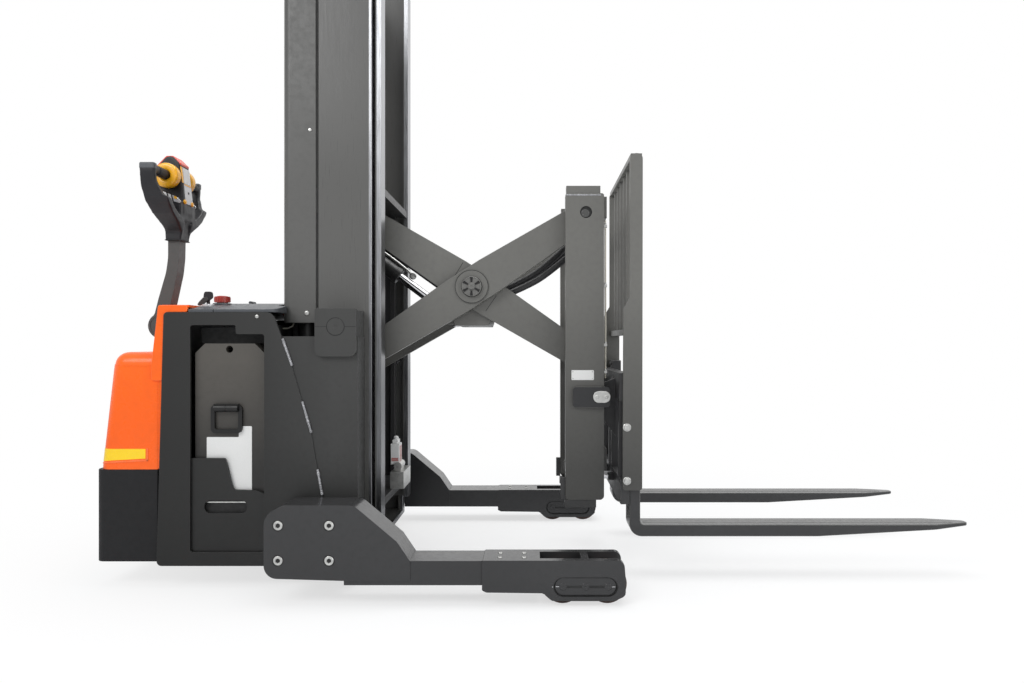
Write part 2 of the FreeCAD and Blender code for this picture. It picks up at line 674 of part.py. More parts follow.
# Reach frame
def reach_frame():
    web = plate_xz([(FRAME_X0, FRAME_Z0, 14), (FRAME_X0, FRAME_Z1, 8),
                    (FRAME_X1, FRAME_Z1, 8), (FRAME_X1, FRAME_Z0, 14)],
                   FRAME_Y - FRAME_WEB, FRAME_Y)
    f1 = box(FRAME_X0, 150, FRAME_TIP_Y, FRAME_Y - 2, FRAME_Z0 + 14, FRAME_Z1 - 8)
    f2 = box(218, FRAME_X1, FRAME_TIP_Y, FRAME_Y - 2, FRAME_Z0 + 14, FRAME_Z1 - 8)
    web = web.cut(cyl_y(PIVOT_FRONT_X, PIVOT_TOP_Z, PIN_R, 0, 400))
    pin = cyl_y(PIVOT_FRONT_X, PIVOT_TOP_Z, PIN_R, 178, FRAME_Y - 4)
    collar = cyl_y(PIVOT_FRONT_X, PIVOT_TOP_Z, 30, FRAME_TIP_Y, FRAME_Y - 6)
    cap = box(118, 232, FRAME_TIP_Y, FRAME_Y - 2, FRAME_Z1 - 10, FRAME_Z1 + 25)
    lug = plate_xz([(139, 543, 14), (139, 612, 14), (262, 612, 34), (262, 543, 34)],
                   FRAME_Y - 2, FRAME_Y + 14)
    bearing = box(219, 250, FRAME_TIP_Y, FRAME_Y - 8, 545, 611)
    side = fuse([web, f1, f2, pin, collar, cap, lug, bearing])
    side = side.cut(cyl_y(TILT_X, TILT_Z, TILT_PIN_R + PIN_GAP, 0, 400))
    bars = [box(234, 256, -FRAME_TIP_Y - 4, FRAME_TIP_Y + 4, z0, z1)
            for z0, z1 in ((1180, 1252), (326, 400))]
    ears = []
    for y in (-130, -81, 70, 119):
        ears.append(plate_xz([(124, 272, 14), (124, 312, 10), (236, 340, 0), (250, 340, 0),
                              (250, 262, 0), (236, 262, 0)], y, y + 11))
    pins = [cyl_y(TILT_BASE_X, TILT_CYL_Z, 9, y - 22, y + 22) for y in (-TILT_CYL_Y, TILT_CYL_Y)]
    return fuse([side, mirrored(side)] + bars + ears + pins)


def tilt_barrels():
    out = []
    for y in (-TILT_CYL_Y, TILT_CYL_Y):
        tube = cyl_x(y, TILT_CYL_Z, 17, TILT_BASE_X + 8, 247)
        eye = cyl_y(TILT_BASE_X, TILT_CYL_Z, 15, y - 7, y + 7)
        out.append(fuse([tube, eye]).cut([
            cyl_x(y, TILT_CYL_Z, 10.5, 166, 300),
            cyl_y(TILT_BASE_X, TILT_CYL_Z, 9 + PIN_GAP, y - 20, y + 20)]))
    return out


def tilt_rods():
    out = []
    for y in (-TILT_CYL_Y, TILT_CYL_Y):
        shaft = cyl_x(y, TILT_CYL_Z, 10, 190, TILT_EYE_X - 9)
        eye = cyl_y(TILT_EYE_X, TILT_CYL_Z, 11, y - 7, y + 7)
        out.append(fuse([shaft, eye]).cut(cyl_y(TILT_EYE_X, TILT_CYL_Z, 5 + PIN_GAP, y - 20, y + 20)))
    return out


# Fork carriage
def fork_carriage():
    y1 = REST_Y - 12.0
    upper = box(286, 318.7, -y1, y1, 570, 660)
    lower = box(290, 318.7, -y1, y1, 236, 316)
    cheeks = []
    for y in (192, -206):
        cheeks.append(plate_xz([(TILT_X - 22, TILT_Z - 26, 22), (TILT_X - 22, TILT_Z + 30, 22),
                                (288, 640, 0), (288, 440, 0)], y, y + 14))
    posts = [box(288, 314, y, y + 30, 300, 600) for y in (-300, 270, -60, 30)]
    pin = [cyl_y(TILT_X, TILT_Z, TILT_PIN_R, 194, FRAME_Y + 12),
           cyl_y(TILT_X, TILT_Z, TILT_PIN_R, -FRAME_Y - 12, -194)]
    for y in (-TILT_CYL_Y, TILT_CYL_Y):
        for d in (-16, 8):
            posts.append(box(TILT_EYE_X - 7, 292, y + d, y + d + 8,
                             TILT_CYL_Z - 12, TILT_CYL_Z + 12))
        pin.append(cyl_y(TILT_EYE_X, TILT_CYL_Z, 5, y - 14, y + 14))
    return fuse([upper, lower] + posts + cheeks + pin)


def load_backrest():
    y1 = REST_Y
    side = plate_xz([(295, 283, 10), (298, 868, 10), (319, 905, 10), (319, 1369, 20),
                     (360, 1369, 18), (360, 905, 0), (358, 283, 10)], y1 - 12, y1)
    top = box(322, 358, -y1 + 4, y1 - 4, 1353, 1369)
    low = box(322, 356, -y1 + 4, y1 - 4, 786, 806)
    bars = [box(330, 350, y - 6, y + 6, 800, 1358) for y in (-249, -149, -50, 50, 149, 249)]
    return fuse([side, mirrored(side), top, low] + bars)


def forks():
    y1 = FORK_Y1
    y0 = y1 - FORK_W
    z1 = BLADE_TOP_Z
    blade = plate_xz([
        (SHANK_X0 + 0.0, SHANK_TOP_Z, 0), (SHANK_X0 + 35, SHANK_TOP_Z, 0),
        (SHANK_X0 + 35, z1, 14), (FORK_TIP_X, z1, 0), (FORK_TIP_X, z1 - 10, 4),
        (BLADE_TAPER_X, z1 - FORK_T, 200), (SHANK_X0, z1 - FORK_T, 40)], y0, y1)
    plan = plate_xy([(200, y0, 0), (FORK_TIP_X - 120, y0, 60), (FORK_TIP_X, y0 + 34, 16),
                     (FORK_TIP_X, y1 - 34, 16), (FORK_TIP_X - 120, y1, 60), (200, y1, 0)],
                    0, 900)
    return both(blade.common(plan))


# Drive end
def steer_unit():
    x0 = STEER_X - 66
    x1 = STEER_X + 66
    fork = [box(x0, x1, y, y + 14, 90, 300) for y in (-64, 50)]
    deck = box(x0, x1, -64, 64, 290, 330)
    motor = cyl_z(STEER_X, 0, 72, 325, 560)
    collar = cyl_z(STEER_X, 0, 82, 364.3, 378)
    axle = cyl_y(STEER_X, DRIVE_R, 16, -62, 62)
    neck = cyl_z(STEER_X, 0, 36, 555, 745)
    return fuse(fork + [deck, motor, collar, axle, neck])


def drive_wheel():
    wheel = cyl_y(STEER_X, DRIVE_R, DRIVE_R, -42, 42)
    return wheel.cut(cyl_y(STEER_X, DRIVE_R, 16 + PIN_GAP, -60, 60))


def steering_neck():
    post = plate_xz([(-1262, 745.3, 0), (-1187, 745.3, 0), (-1187, 762, 6), (-1296, 842, 14),
                     (-1356, 842, 12), (-1356, 798, 12), (-1300, 790, 20)], -18, 18)
    pin = cyl_y(TILLER_X, TILLER_Z, 13.5, -44, 44)
    return fuse([post, pin])


def tiller_arm():
    cheeks = []
    for y in (19.0, -31.0):
        cheeks.append(cyl_y(TILLER_X, TILLER_Z, TILLER_R, y, y + 12))
        cheeks.append(plate_xz([(-1368, 787, 4), (-1347, 770, 6), (-1310, 770, 6),
                                (-1310, 830, 0), (-1340, 830, 0)], y, y + 12))
    arm = plate_xz([
        (-1375, 838, 0), (-1359, 865, 30), (-1346, 917, 200), (-1330, 972, 200),
        (-1318, 1014, 200), (-1311, 1066, 200), (-1311, 1127, 0), (-1271, 1127, 0),
        (-1272, 1066, 200), (-1278, 1010, 200), (-1290, 953, 200), (-1301, 903, 60),
        (-1316, 840, 0)], -28, 28)
    ring = cyl_y(TILLER_X, TILLER_Z, 37, -31, 31).cut(cyl_y(TILLER_X, TILLER_Z, 35, -31, 31))
    edge = box(-1500, -1200, -29.5, 29.5, 700, 900)
    whole = fuse(cheeks + [arm])
    slot = cyl_y(TILLER_X, TILLER_Z, 56, -18.6, 18.6)
    bore = cyl_y(TILLER_X, TILLER_Z, 13.5 + PIN_GAP, -60, 60)
    return whole.cut([slot, bore, ring.cut(edge)])


def tiller_head():
    body = plate_xz([
        (-1316, 1127, 0), (-1320, 1200, 60), (-1340, 1290, 60), (-1346, 1392, 20),
        (-1312, 1431, 24), (-1290, 1431, 14), (-1264, 1405, 10), (-1256, 1340, 0),
        (-1247, 1229, 20), (-1258, 1186, 0), (-1262, 1127, 0)], -40, 40)
    saddle = plate_xz([(-1328, 1200, 0), (-1336, 1306, 8), (-1318, 1300, 8), (-1250, 1262, 0),
                       (-1250, 1200, 0)], -66, 66)
    side = plate_xz([
        (-1316, 1127, 0), (-1316, 1174, 60), (-1325, 1215, 60), (-1331, 1250, 60),
        (-1334, 1297, 60), (-1333, 1373, 12), (-1283, 1373, 12), (-1283, 1315, 30),
        (-1268, 1272, 20), (-1249, 1262, 0), (-1249, 1190, 0), (-1264, 1127, 0)], -220, 220)
    parts = [body, saddle]
    for sign in (1, -1):
        band = plate_yz([
            (26 * sign, 1127, 0), (40 * sign, 1160, 20), (70 * sign, 1180, 40),
            (125 * sign, 1213, 60), (165 * sign, 1250, 60), (190 * sign, 1300, 60),
            (198 * sign, 1345, 30), (198 * sign, 1373, 10), (176 * sign, 1373, 8),
            (176 * sign, 1345, 30), (168 * sign, 1310, 60), (146 * sign, 1270, 60),
            (110 * sign, 1237, 60), (40 * sign, 1200, 0), (26 * sign, 1190, 0)],
            -1400, -1200)
        parts.append(band.common(side))
        y0 = 30.0 if sign > 0 else -190.0
        parts.append(cyl_y(KNOB_X, KNOB_Z, GRIP_R, y0, y0 + 160))
    return fuse(parts)


def throttle_knobs():
    out = []
    for sign in (1, -1):
        y0 = 42.0 if sign > 0 else -84.0
        knob = cyl_y(KNOB_X, KNOB_Z, 44, y0, y0 + 42)
        out.append(knob.cut(cyl_y(KNOB_X, KNOB_Z, GRIP_R + PIN_GAP, -200, 200)))
    return out


save("chassis_frame", chassis_frame())
save("battery_case", battery_case())
save("window_covers", window_covers())
save("battery_pulls", battery_pulls())
save("pump_block", pump_block())
save("rear_skirt", rear_skirt())
save("rear_cover", rear_cover())
save("top_hood", top_hood())
save("dash_panel", dash_panel())
save("key_switch", key_switch())
save("emergency_stop", emergency_stop())
leg = leg_right()
save("leg_left", leg)
save("leg_right", mirrored(leg))
save("wheel_bogies", bogies())
save("load_wheel_rear_left", load_wheel(LEG_AXLE_X[0], 1))
save("load_wheel_front_left", load_wheel(LEG_AXLE_X[1], 1))
save("load_wheel_rear_right", load_wheel(LEG_AXLE_X[0], -1))
save("load_wheel_front_right", load_wheel(LEG_AXLE_X[1], -1))
save("mast_outer", mast_outer())
save("mast_side_covers", mast_side_covers())
save("lift_barrels", lift_barrels())
save("mast_inner", mast_inner())
save("lift_rods", lift_rods())
save("chain_sheaves", chain_sheaves())
save("lift_chains", lift_chains())
save("lift_carriage", lift_carriage())
save("carriage_rollers", carriage_rollers())
save("valve_block", valve_block())
save("arm_inner", arm_inner())
save("arm_outer", arm_outer())
save("pivot_hubs", pivot_hubs())
save("reach_barrel", reach_barrel())
save("reach_rod", reach_rod())
save("reach_frame", reach_frame())
save("tilt_barrels", tilt_barrels())
save("tilt_rods", tilt_rods())
save("fork_carriage", fork_carriage())
save("load_backrest", load_backrest())
save("forks", forks())
save("steer_unit", steer_unit())
save("drive_wheel", drive_wheel())
save("steering_neck", steering_neck())
save("tiller_arm", tiller_arm())
save("tiller_head", tiller_head())
save("throttle_knobs", throttle_knobs())
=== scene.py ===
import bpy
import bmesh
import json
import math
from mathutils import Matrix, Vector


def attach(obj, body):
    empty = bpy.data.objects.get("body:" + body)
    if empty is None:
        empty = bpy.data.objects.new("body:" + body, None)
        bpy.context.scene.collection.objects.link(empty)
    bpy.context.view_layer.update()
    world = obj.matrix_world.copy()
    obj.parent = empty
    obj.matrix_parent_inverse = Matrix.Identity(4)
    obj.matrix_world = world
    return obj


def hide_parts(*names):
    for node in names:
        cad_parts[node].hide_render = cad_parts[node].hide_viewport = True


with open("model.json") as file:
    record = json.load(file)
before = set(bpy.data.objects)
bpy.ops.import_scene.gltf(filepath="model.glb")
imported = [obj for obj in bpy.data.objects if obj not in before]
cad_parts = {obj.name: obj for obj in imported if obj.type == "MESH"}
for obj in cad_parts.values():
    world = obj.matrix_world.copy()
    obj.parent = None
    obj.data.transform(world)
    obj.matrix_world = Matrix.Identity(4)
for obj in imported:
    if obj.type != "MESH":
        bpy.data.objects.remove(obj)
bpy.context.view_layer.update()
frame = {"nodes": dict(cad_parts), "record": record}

# %% [markdown]
# # A walk-behind reach truck
# The frame that was just loaded holds every solid of the truck, in metres, with
# +X towards the fork tips and the floor at z = 0. This lesson dresses it: light,
# paint, steel, and the small hardware that makes a machine look made.

CENTRE_X = -0.026           # the drawing's datum, under the camera, is moved by this
NODES = frame["nodes"]
BODIES = frame["record"]["behaviour"]["bodies"]
BODY_OF = {node_name: body for body, held in BODIES.items() for node_name in held}
SIDES = ((1, "left"), (-1, "right"))
scene = bpy.context.scene


def at(x, y, z):
    """A point of the drawing, in millimetres, as a point of the scene, in metres."""
    return Vector((x / 1000 + CENTRE_X, y / 1000, z / 1000))


def placed(name, data):
    """A new object of the scene that holds the data."""
    obj = bpy.data.objects.new(name, data)
    scene.collection.objects.link(obj)
    return obj


# %% [markdown]
# ## One helper for every node
# The world, the finishes and the trees that set hardware down are all networks of
# nodes. One helper makes a node, sets what it is told, and fills each input with a
# value or with a link from another node.


# %% Nodes
def fill(tree, made, inputs):
    for key, value in inputs.items():
        if isinstance(value, bpy.types.NodeSocket):
            tree.links.new(value, made.inputs[key])
        else:
            made.inputs[key].default_value = value


def node(tree, kind, inputs=None, **settings):
    """A new node; each of inputs is a value or another node's output."""
    made = tree.nodes.new(kind)
    for key, value in settings.items():
        setattr(made, key, value)
    fill(tree, made, inputs or {})
    return made


def maths(tree, operation, a, b):
    return node(tree, "ShaderNodeMath", {0: a, 1: b}, operation=operation).outputs[0]


print("node helpers ready")

# %% [markdown]
# ## Studio
# The photograph is a catalogue picture: white all round, one broad soft light from
# the upper left, and a weaker one from the right. The white ground is a floor that
# keeps the truck's shadow near it and fades to pure white for the camera further
# off. The lamps stay at a level where a colour renders as it is written.

# %% World and floor
FLOOR_HALF = 30.0
FADE_FROM, FADE_TO = 0.2, 2.6

scene.view_settings.view_transform = "Standard"
world = bpy.data.worlds.new("studio_air")
scene.world = world
world.use_nodes = True
air = world.node_tree
air.nodes.clear()
rays = node(air, "ShaderNodeLightPath").outputs
seen = maths(air, "MAXIMUM", rays["Is Camera Ray"], rays["Is Glossy Ray"])
seen = maths(air, "MAXIMUM", seen, rays["Is Transmission Ray"])
dim = node(air, "ShaderNodeBackground", {"Color": (0.93, 0.96, 1.0, 1), "Strength": 0.52})
bright = node(air, "ShaderNodeBackground", {"Color": (1, 1, 1, 1), "Strength": 1.0})
mix = node(air, "ShaderNodeMixShader", {0: seen, 1: dim.outputs[0], 2: bright.outputs[0]})
node(air, "ShaderNodeOutputWorld", {0: mix.outputs[0]})

floor_mat = bpy.data.materials.new("studio_floor")
floor_mat.use_nodes = True
ground = floor_mat.node_tree
ground.nodes.clear()
place = node(ground, "ShaderNodeTexCoord").outputs["Object"]
length = node(ground, "ShaderNodeVectorMath", {0: place}, operation="LENGTH").outputs["Value"]
fade = node(ground, "ShaderNodeMapRange", {"Value": length, "From Min": FADE_FROM,
                                           "From Max": FADE_TO, "To Min": 0.62},
            interpolation_type="SMOOTHSTEP").outputs[0]
camera_ray = node(ground, "ShaderNodeLightPath").outputs["Is Camera Ray"]
matt = node(ground, "ShaderNodeBsdfDiffuse", {"Color": (0.93, 0.93, 0.93, 1)})
glow = node(ground, "ShaderNodeEmission", {"Strength": 1.0})
blend = node(ground, "ShaderNodeMixShader", {0: maths(ground, "MULTIPLY", fade, camera_ray),
                                             1: matt.outputs[0], 2: glow.outputs[0]})
node(ground, "ShaderNodeOutputMaterial", {0: blend.outputs[0]})

floor_mesh = bpy.data.meshes.new("studio_floor")
floor_mesh.from_pydata([(FLOOR_HALF * x, FLOOR_HALF * y, 0)
                        for x, y in ((-1, -1), (1, -1), (1, 1), (-1, 1))],
                       [], [(0, 1, 2, 3)])
floor_mesh.materials.append(floor_mat)
floor = placed("studio_floor", floor_mesh)
print("floor of", FLOOR_HALF * 2, "m, white for the camera beyond", FADE_TO, "m")


# %% Lamps
def soft_lamp(name, place, aim, width, height, watts):
    data = bpy.data.lights.new(name, "AREA")
    data.shape = "RECTANGLE"
    data.size = width
    data.size_y = height
    data.energy = watts
    lamp = placed(name, data)
    lamp.location = place
    lamp.rotation_euler = (Vector(aim) - Vector(place)).to_track_quat("-Z", "Y").to_euler()


soft_lamp("key_softbox", (-2.6, -3.6, 3.6), (-0.2, 0, 0.8), 2.6, 2.0, 92)
soft_lamp("fill_softbox", (3.4, -3.2, 1.9), (0.1, 0, 0.8), 2.2, 2.2, 42)
soft_lamp("top_softbox", (0.2, 0.4, 4.6), (0, 0, 0), 4.0, 2.6, 125)
print("three lamps")

# %% Camera
cam_data = bpy.data.cameras.new("photo_view")
cam_data.sensor_width = 36.0
cam_data.lens = 28.48
cam_data.shift_x = -0.01855
cam_data.shift_y = 0.00195
cam = placed("photo_view", cam_data)
cam.location = (CENTRE_X, -2.954, 0.756)
cam.rotation_euler = (math.radians(90), 0, 0)
scene.camera = cam
print("camera at", tuple(round(v, 3) for v in cam.location))

# %% [markdown]
# ## Finishes
# Every finish is one Principled shader whose colour, roughness and bump come from
# noise that is read at the point's own place on the truck. Three scales are enough
# for a painted machine: a slow drift of tone over tens of centimetres, a mottle of
# a centimetre, and the orange peel of the spray gun at a millimetre.
# The helper below builds that once, and each real finish then sets its own numbers.

# %% The helper for a finish
DUST = (0.23, 0.21, 0.18)
STAINED = 0.82              # the mottle's tone as a share of the paint's


def noise(tree, coord, scale, detail=3.0, stretch=None):
    if stretch:
        coord = node(tree, "ShaderNodeMapping", {"Vector": coord, "Scale": stretch}).outputs[0]
    return node(tree, "ShaderNodeTexNoise",
                {"Vector": coord, "Scale": scale, "Detail": detail}).outputs["Fac"]


def ramp(tree, value, low, high, a, b):
    return node(tree, "ShaderNodeMapRange", {"Value": value, "From Min": low, "From Max": high,
                                             "To Min": a, "To Max": b}).outputs[0]


def tint(tree, share, a, b):
    """A mix of two colours, each of them a triple or an output."""
    a, b = (c if isinstance(c, bpy.types.NodeSocket) else (*c, 1) for c in (a, b))
    return node(tree, "ShaderNodeMix", {0: share, 6: a, 7: b}, data_type="RGBA").outputs[2]


def axis_of(tree, coord, axis):
    return node(tree, "ShaderNodeSeparateXYZ", {0: coord}).outputs[axis]


def shaded(tree, coord, colour, shades):
    """The colour multiplied by ramps that run along X, Y or Z in metres."""
    for axis, low, high, a, b in shades:
        share = ramp(tree, axis_of(tree, coord, axis), low, high, a, b)
        colour = node(tree, "ShaderNodeVectorMath", {0: colour, "Scale": share},
                      operation="SCALE").outputs[0]
    return colour


def relief(tree, coord, grain, bump, depth, stretch=None):
    height = noise(tree, coord, grain, 2.0, stretch)
    return node(tree, "ShaderNodeBump",
                {"Height": height, "Strength": bump, "Distance": depth}).outputs[0]


def new_finish(name):
    mat = bpy.data.materials.new(name)
    mat.use_nodes = True
    return mat, mat.node_tree, node(mat.node_tree, "ShaderNodeTexCoord").outputs["Object"]


def finish(name, dark, light, rough=(0.35, 0.5), metallic=0.0, drift=2.5, mottle=60.0,
           grain=900.0, bump=0.15, grain_depth=0.0002, stretch=None, dust=0.0,
           scuff=None, coat=0.0, gloss=0.5, shades=()):
    """Colour drifts between dark and light; scuff=(colour, share) adds worn flecks.

    Each of shades, (axis, from, to, a, b), multiplies the colour by a value that
    runs from a to b along an axis: painted light and shade, lighter or darker at one end.
    """
    mat, tree, coord = new_finish(name)
    slow = ramp(tree, noise(tree, coord, drift, 2.0, stretch), 0.3, 0.7, 0, 1)
    fine = noise(tree, coord, mottle, 4.0, stretch)
    stain = tuple((a + b) / 2 * STAINED for a, b in zip(dark, light))
    colour = tint(tree, ramp(tree, fine, 0.45, 0.75, 0, 0.45), tint(tree, slow, dark, light),
                  stain)
    if scuff:
        flecks = noise(tree, coord, mottle * 0.6, 8.0, (1.0, 1.0, 2.4))
        level = 0.5 + (1 - scuff[1]) * 0.22
        colour = tint(tree, ramp(tree, flecks, level, level + 0.03, 0, 1), colour, scuff[0])
    if dust:
        low = ramp(tree, axis_of(tree, coord, "Z"), 0.0, 0.45, dust, 0.0)
        cloud = ramp(tree, noise(tree, coord, 9.0, 6.0), 0.35, 0.7, 0.2, 1.0)
        colour = tint(tree, maths(tree, "MULTIPLY", low, cloud), colour, DUST)
    values = {"Base Color": shaded(tree, coord, colour, shades), "Metallic": metallic,
              "Roughness": ramp(tree, fine, 0.3, 0.7, *rough), "Specular IOR Level": gloss,
              "Normal": relief(tree, coord, grain, bump, grain_depth, stretch)}
    if coat:
        values.update({"Coat Weight": coat, "Coat Roughness": 0.12})
    fill(tree, tree.nodes["Principled BSDF"], values)
    return mat


print("finish helper ready")

# %% [markdown]
# The truck wears one satin charcoal over almost everything, painted lighter or
# darker in places as painted light and shade. The bevelled edges get a lighter
# version of it, a painted edge highlight with worn flecks, so that plates read as
# plates. Steel that runs on steel stays bare and shows the streaks of its rolling.

# %% The finishes of this truck
# Painted light and shade: darker towards the rear and towards the floor, lighter towards the
# mast.
PAINT = finish("charcoal_satin", (0.029, 0.029, 0.028), (0.036, 0.036, 0.035), (0.34, 0.46),
               bump=0.12, gloss=0.3, shades=[("X", -1.27, -0.88, 0.6, 1.0),
                                             ("X", -0.85, -0.64, 1.0, 1.7),
                                             ("Z", 0.15, 0.8, 0.55, 1.0)])
# Painted edge highlight: lighter than the paint on every bevel, with worn flecks.
PAINT_EDGE = finish("charcoal_edge_highlight_and_wear", (0.050, 0.050, 0.048), (0.085, 0.085, 0.082),
                    (0.28, 0.4), mottle=120, scuff=((0.20, 0.20, 0.19), 0.12))
LEG_PAINT = finish("charcoal_leg", (0.027, 0.027, 0.028), (0.034, 0.034, 0.035),
                   (0.17, 0.27), bump=0.06, gloss=0.4)
# Painted shade: both darker towards the floor; the edge's flecks are wear.
WARM = finish("warm_charcoal", (0.130, 0.128, 0.118), (0.146, 0.144, 0.133), (0.34, 0.46),
              bump=0.12, shades=[("Z", 0.33, 0.95, 0.34, 1.0)])
WARM_EDGE = finish("warm_charcoal_edge", (0.12, 0.118, 0.11), (0.16, 0.158, 0.15),
                   (0.28, 0.4), mottle=120, shades=[("Z", 0.33, 0.9, 0.5, 1.0)],
                   scuff=((0.28, 0.28, 0.27), 0.10))
# A lighter copy of the charcoal, painted light on the mast, with painted shade darker towards its
# top.
MAST_PAINT = finish("mast_charcoal", (0.084, 0.083, 0.079), (0.098, 0.097, 0.092),
                    (0.34, 0.46), bump=0.12, shades=[("Z", 0.95, 2.1, 1.0, 0.62)])
# Painted shade: the case much darker towards the floor.
BATTERY = finish("battery_case_grey", (0.070, 0.064, 0.055), (0.092, 0.084, 0.073),
                 (0.4, 0.55), drift=4, bump=0.18, shades=[("Z", 0.36, 0.70, 0.10, 0.95)])
BLACK_STEEL = finish("black_oiled_steel", (0.018, 0.018, 0.018), (0.034, 0.034, 0.034),
                     (0.3, 0.48), bump=0.12)
SKIRT = finish("moulded_charcoal", (0.008, 0.008, 0.009), (0.012, 0.012, 0.013), (0.5, 0.62),
               grain=1400, bump=0.35, grain_depth=0.0003, gloss=0.25)
ORANGE = finish("orange_cover_paint", (0.95, 0.112, 0.006), (1.0, 0.150, 0.010), (0.24, 0.34),
                drift=1.6, mottle=30, bump=0.06, coat=0.12, gloss=0.3)
# Painted edge highlight: lighter than the orange on every bevel, with worn flecks.
ORANGE_EDGE = finish("orange_edge", (0.95, 0.15, 0.02), (1.0, 0.19, 0.04), (0.24, 0.34),
                     mottle=80, coat=0.15, scuff=((0.55, 0.2, 0.1), 0.06))
HOOD = finish("hood_grained_plastic", (0.055, 0.060, 0.068), (0.075, 0.081, 0.09),
              (0.36, 0.48), grain=1600, bump=0.3, grain_depth=0.0003)
BLACK = finish("black_grained_plastic", (0.010, 0.010, 0.012), (0.018, 0.018, 0.021),
               (0.34, 0.48), grain=1800, bump=0.3, grain_depth=0.0003, gloss=0.35)
TRAY_BLACK = finish("black_pull_ring", (0.006, 0.006, 0.006), (0.012, 0.012, 0.012),
                    (0.3, 0.45), bump=0.1, gloss=0.35)
NECK = finish("tiller_arm_charcoal", (0.052, 0.050, 0.048), (0.070, 0.068, 0.065),
              (0.36, 0.48), grain=1500, bump=0.2, grain_depth=0.0003)
RED = finish("red_glossy_plastic", (0.40, 0.040, 0.030), (0.50, 0.055, 0.04), (0.26, 0.36),
             bump=0.05)
BUTTON_RED = finish("red_orange_button", (0.72, 0.055, 0.03), (0.86, 0.085, 0.045),
                    (0.24, 0.34), bump=0.05)
YELLOW = finish("yellow_glossy_plastic", (0.90, 0.42, 0.012), (1.0, 0.50, 0.02), (0.22, 0.34),
                bump=0.05, coat=0.2)
WELD_BEAD = finish("weld_bead", (0.30, 0.30, 0.31), (0.52, 0.52, 0.54), (0.26, 0.4),
                   metallic=0.3, drift=40, mottle=300)
CARRIAGE_PAINT = finish("carriage_charcoal", (0.027, 0.027, 0.028), (0.036, 0.036, 0.037),
                        (0.34, 0.46), bump=0.12, gloss=0.4)
SILVER = finish("silver_trim_plastic", (0.5, 0.5, 0.51), (0.62, 0.62, 0.63), (0.3, 0.4),
                metallic=0.4, mottle=90)
URETHANE = finish("brown_wheel_urethane", (0.062, 0.022, 0.016), (0.10, 0.038, 0.026),
                  (0.38, 0.6), drift=14, mottle=120, bump=0.25, grain_depth=0.0004,
                  dust=0.25, scuff=((0.22, 0.17, 0.14), 0.2))
RAIL = finish("drawn_rail_steel", (0.30, 0.31, 0.33), (0.52, 0.53, 0.55), (0.2, 0.36),
              metallic=1.0, drift=5, mottle=60, stretch=(9, 9, 0.22), bump=0.1)
CHAIN = finish("oiled_chain_steel", (0.09, 0.088, 0.085), (0.17, 0.165, 0.16), (0.28, 0.42),
               metallic=1.0, mottle=200)
ROLLER = finish("ground_roller_steel", (0.22, 0.22, 0.23), (0.36, 0.36, 0.37), (0.2, 0.34),
                metallic=1.0, mottle=160)
CHROME = finish("hard_chrome", (0.62, 0.62, 0.64), (0.72, 0.72, 0.74), (0.05, 0.12),
                metallic=1.0, mottle=40, stretch=(1, 1, 6), bump=0.02)
ZINC = finish("zinc_plate", (0.42, 0.42, 0.41), (0.6, 0.6, 0.58), (0.26, 0.42),
              metallic=0.9, drift=40, mottle=260, bump=0.1)
HOSE = finish("hose_rubber", (0.012, 0.012, 0.013), (0.022, 0.022, 0.023), (0.4, 0.56),
              grain=2400, bump=0.4, grain_depth=0.0002)
PLATE_WHITE = finish("blank_plate_white", (0.72, 0.72, 0.70), (0.8, 0.8, 0.79), (0.3, 0.4),
                     drift=3, mottle=700, bump=0.03)
REFLECTOR = finish("reflector_yellow", (0.93, 0.60, 0.01), (1.0, 0.70, 0.012), (0.2, 0.3),
                   mottle=400, bump=0.2, grain_depth=0.0004)
CREAM = finish("cream_nylon", (0.62, 0.58, 0.48), (0.74, 0.70, 0.60), (0.3, 0.45), mottle=200,
               bump=0.05)
# Near black for dark joint lines, and painted shade in gaps, slots and recesses.
SHADE_AND_JOINT_DARK = finish("painted_shade_and_joint_dark", (0.006, 0.006, 0.006), (0.010, 0.010, 0.010), (0.6, 0.8))
print(len(bpy.data.materials), "materials so far")

# %% [markdown]
# ## Helpers for pieces
# A piece is gathered in a bmesh from simple strokes: a bar, a turned profile, an
# outline that is given a thickness. Its faces are smoothed up to an angle, its
# normals recalculated, and then it rides on a body of the frame. A round edge a
# millimetre or two wide catches the light, so most pieces get a Bevel modifier,
# which is applied at once: nothing stays live.

# %% Strokes
AXES = {"x": (Vector((1, 0, 0)), Vector((0, 1, 0)), Vector((0, 0, 1))),
        "y": (Vector((0, 1, 0)), Vector((0, 0, 1)), Vector((1, 0, 0))),
        "z": (Vector((0, 0, 1)), Vector((1, 0, 0)), Vector((0, 1, 0)))}


def skin(bm, rings):
    """Faces from ring to ring of corners, and a cap at either end."""
    count = len(rings[0])
    for a, b in zip(rings[:-1], rings[1:]):
        for i in range(count):
            j = (i + 1) % count
            bm.faces.new((a[i], a[j], b[j], b[i]))
    bm.faces.new(list(reversed(rings[0])))
    bm.faces.new(rings[-1])


def bar(bm, x0, x1, y0, y1, z0, z1):
    skin(bm, [[bm.verts.new(at(x, y, z)) for y, z in ((y0, z0), (y1, z0), (y1, z1), (y0, z1))]
              for x in (x0, x1)])


def turned(bm, centre, axis, profile, sides=32, flats=0):
    """Rings of (radius, height) in mm around an axis; flats=6 makes the rings hexagons."""
    along, u, v = AXES[axis] if isinstance(axis, str) else axis
    origin = at(*centre)
    rings = []
    for radius, height in profile:
        ring = []
        for i in range(sides):
            angle = 2 * math.pi * i / sides
            r = radius
            if flats:
                part = angle % (2 * math.pi / flats) - math.pi / flats
                r = radius * math.cos(math.pi / flats) / math.cos(part)
            ring.append(bm.verts.new(origin + (along * height + u * r * math.cos(angle)
                                               + v * r * math.sin(angle)) / 1000))
        rings.append(ring)
    skin(bm, rings)


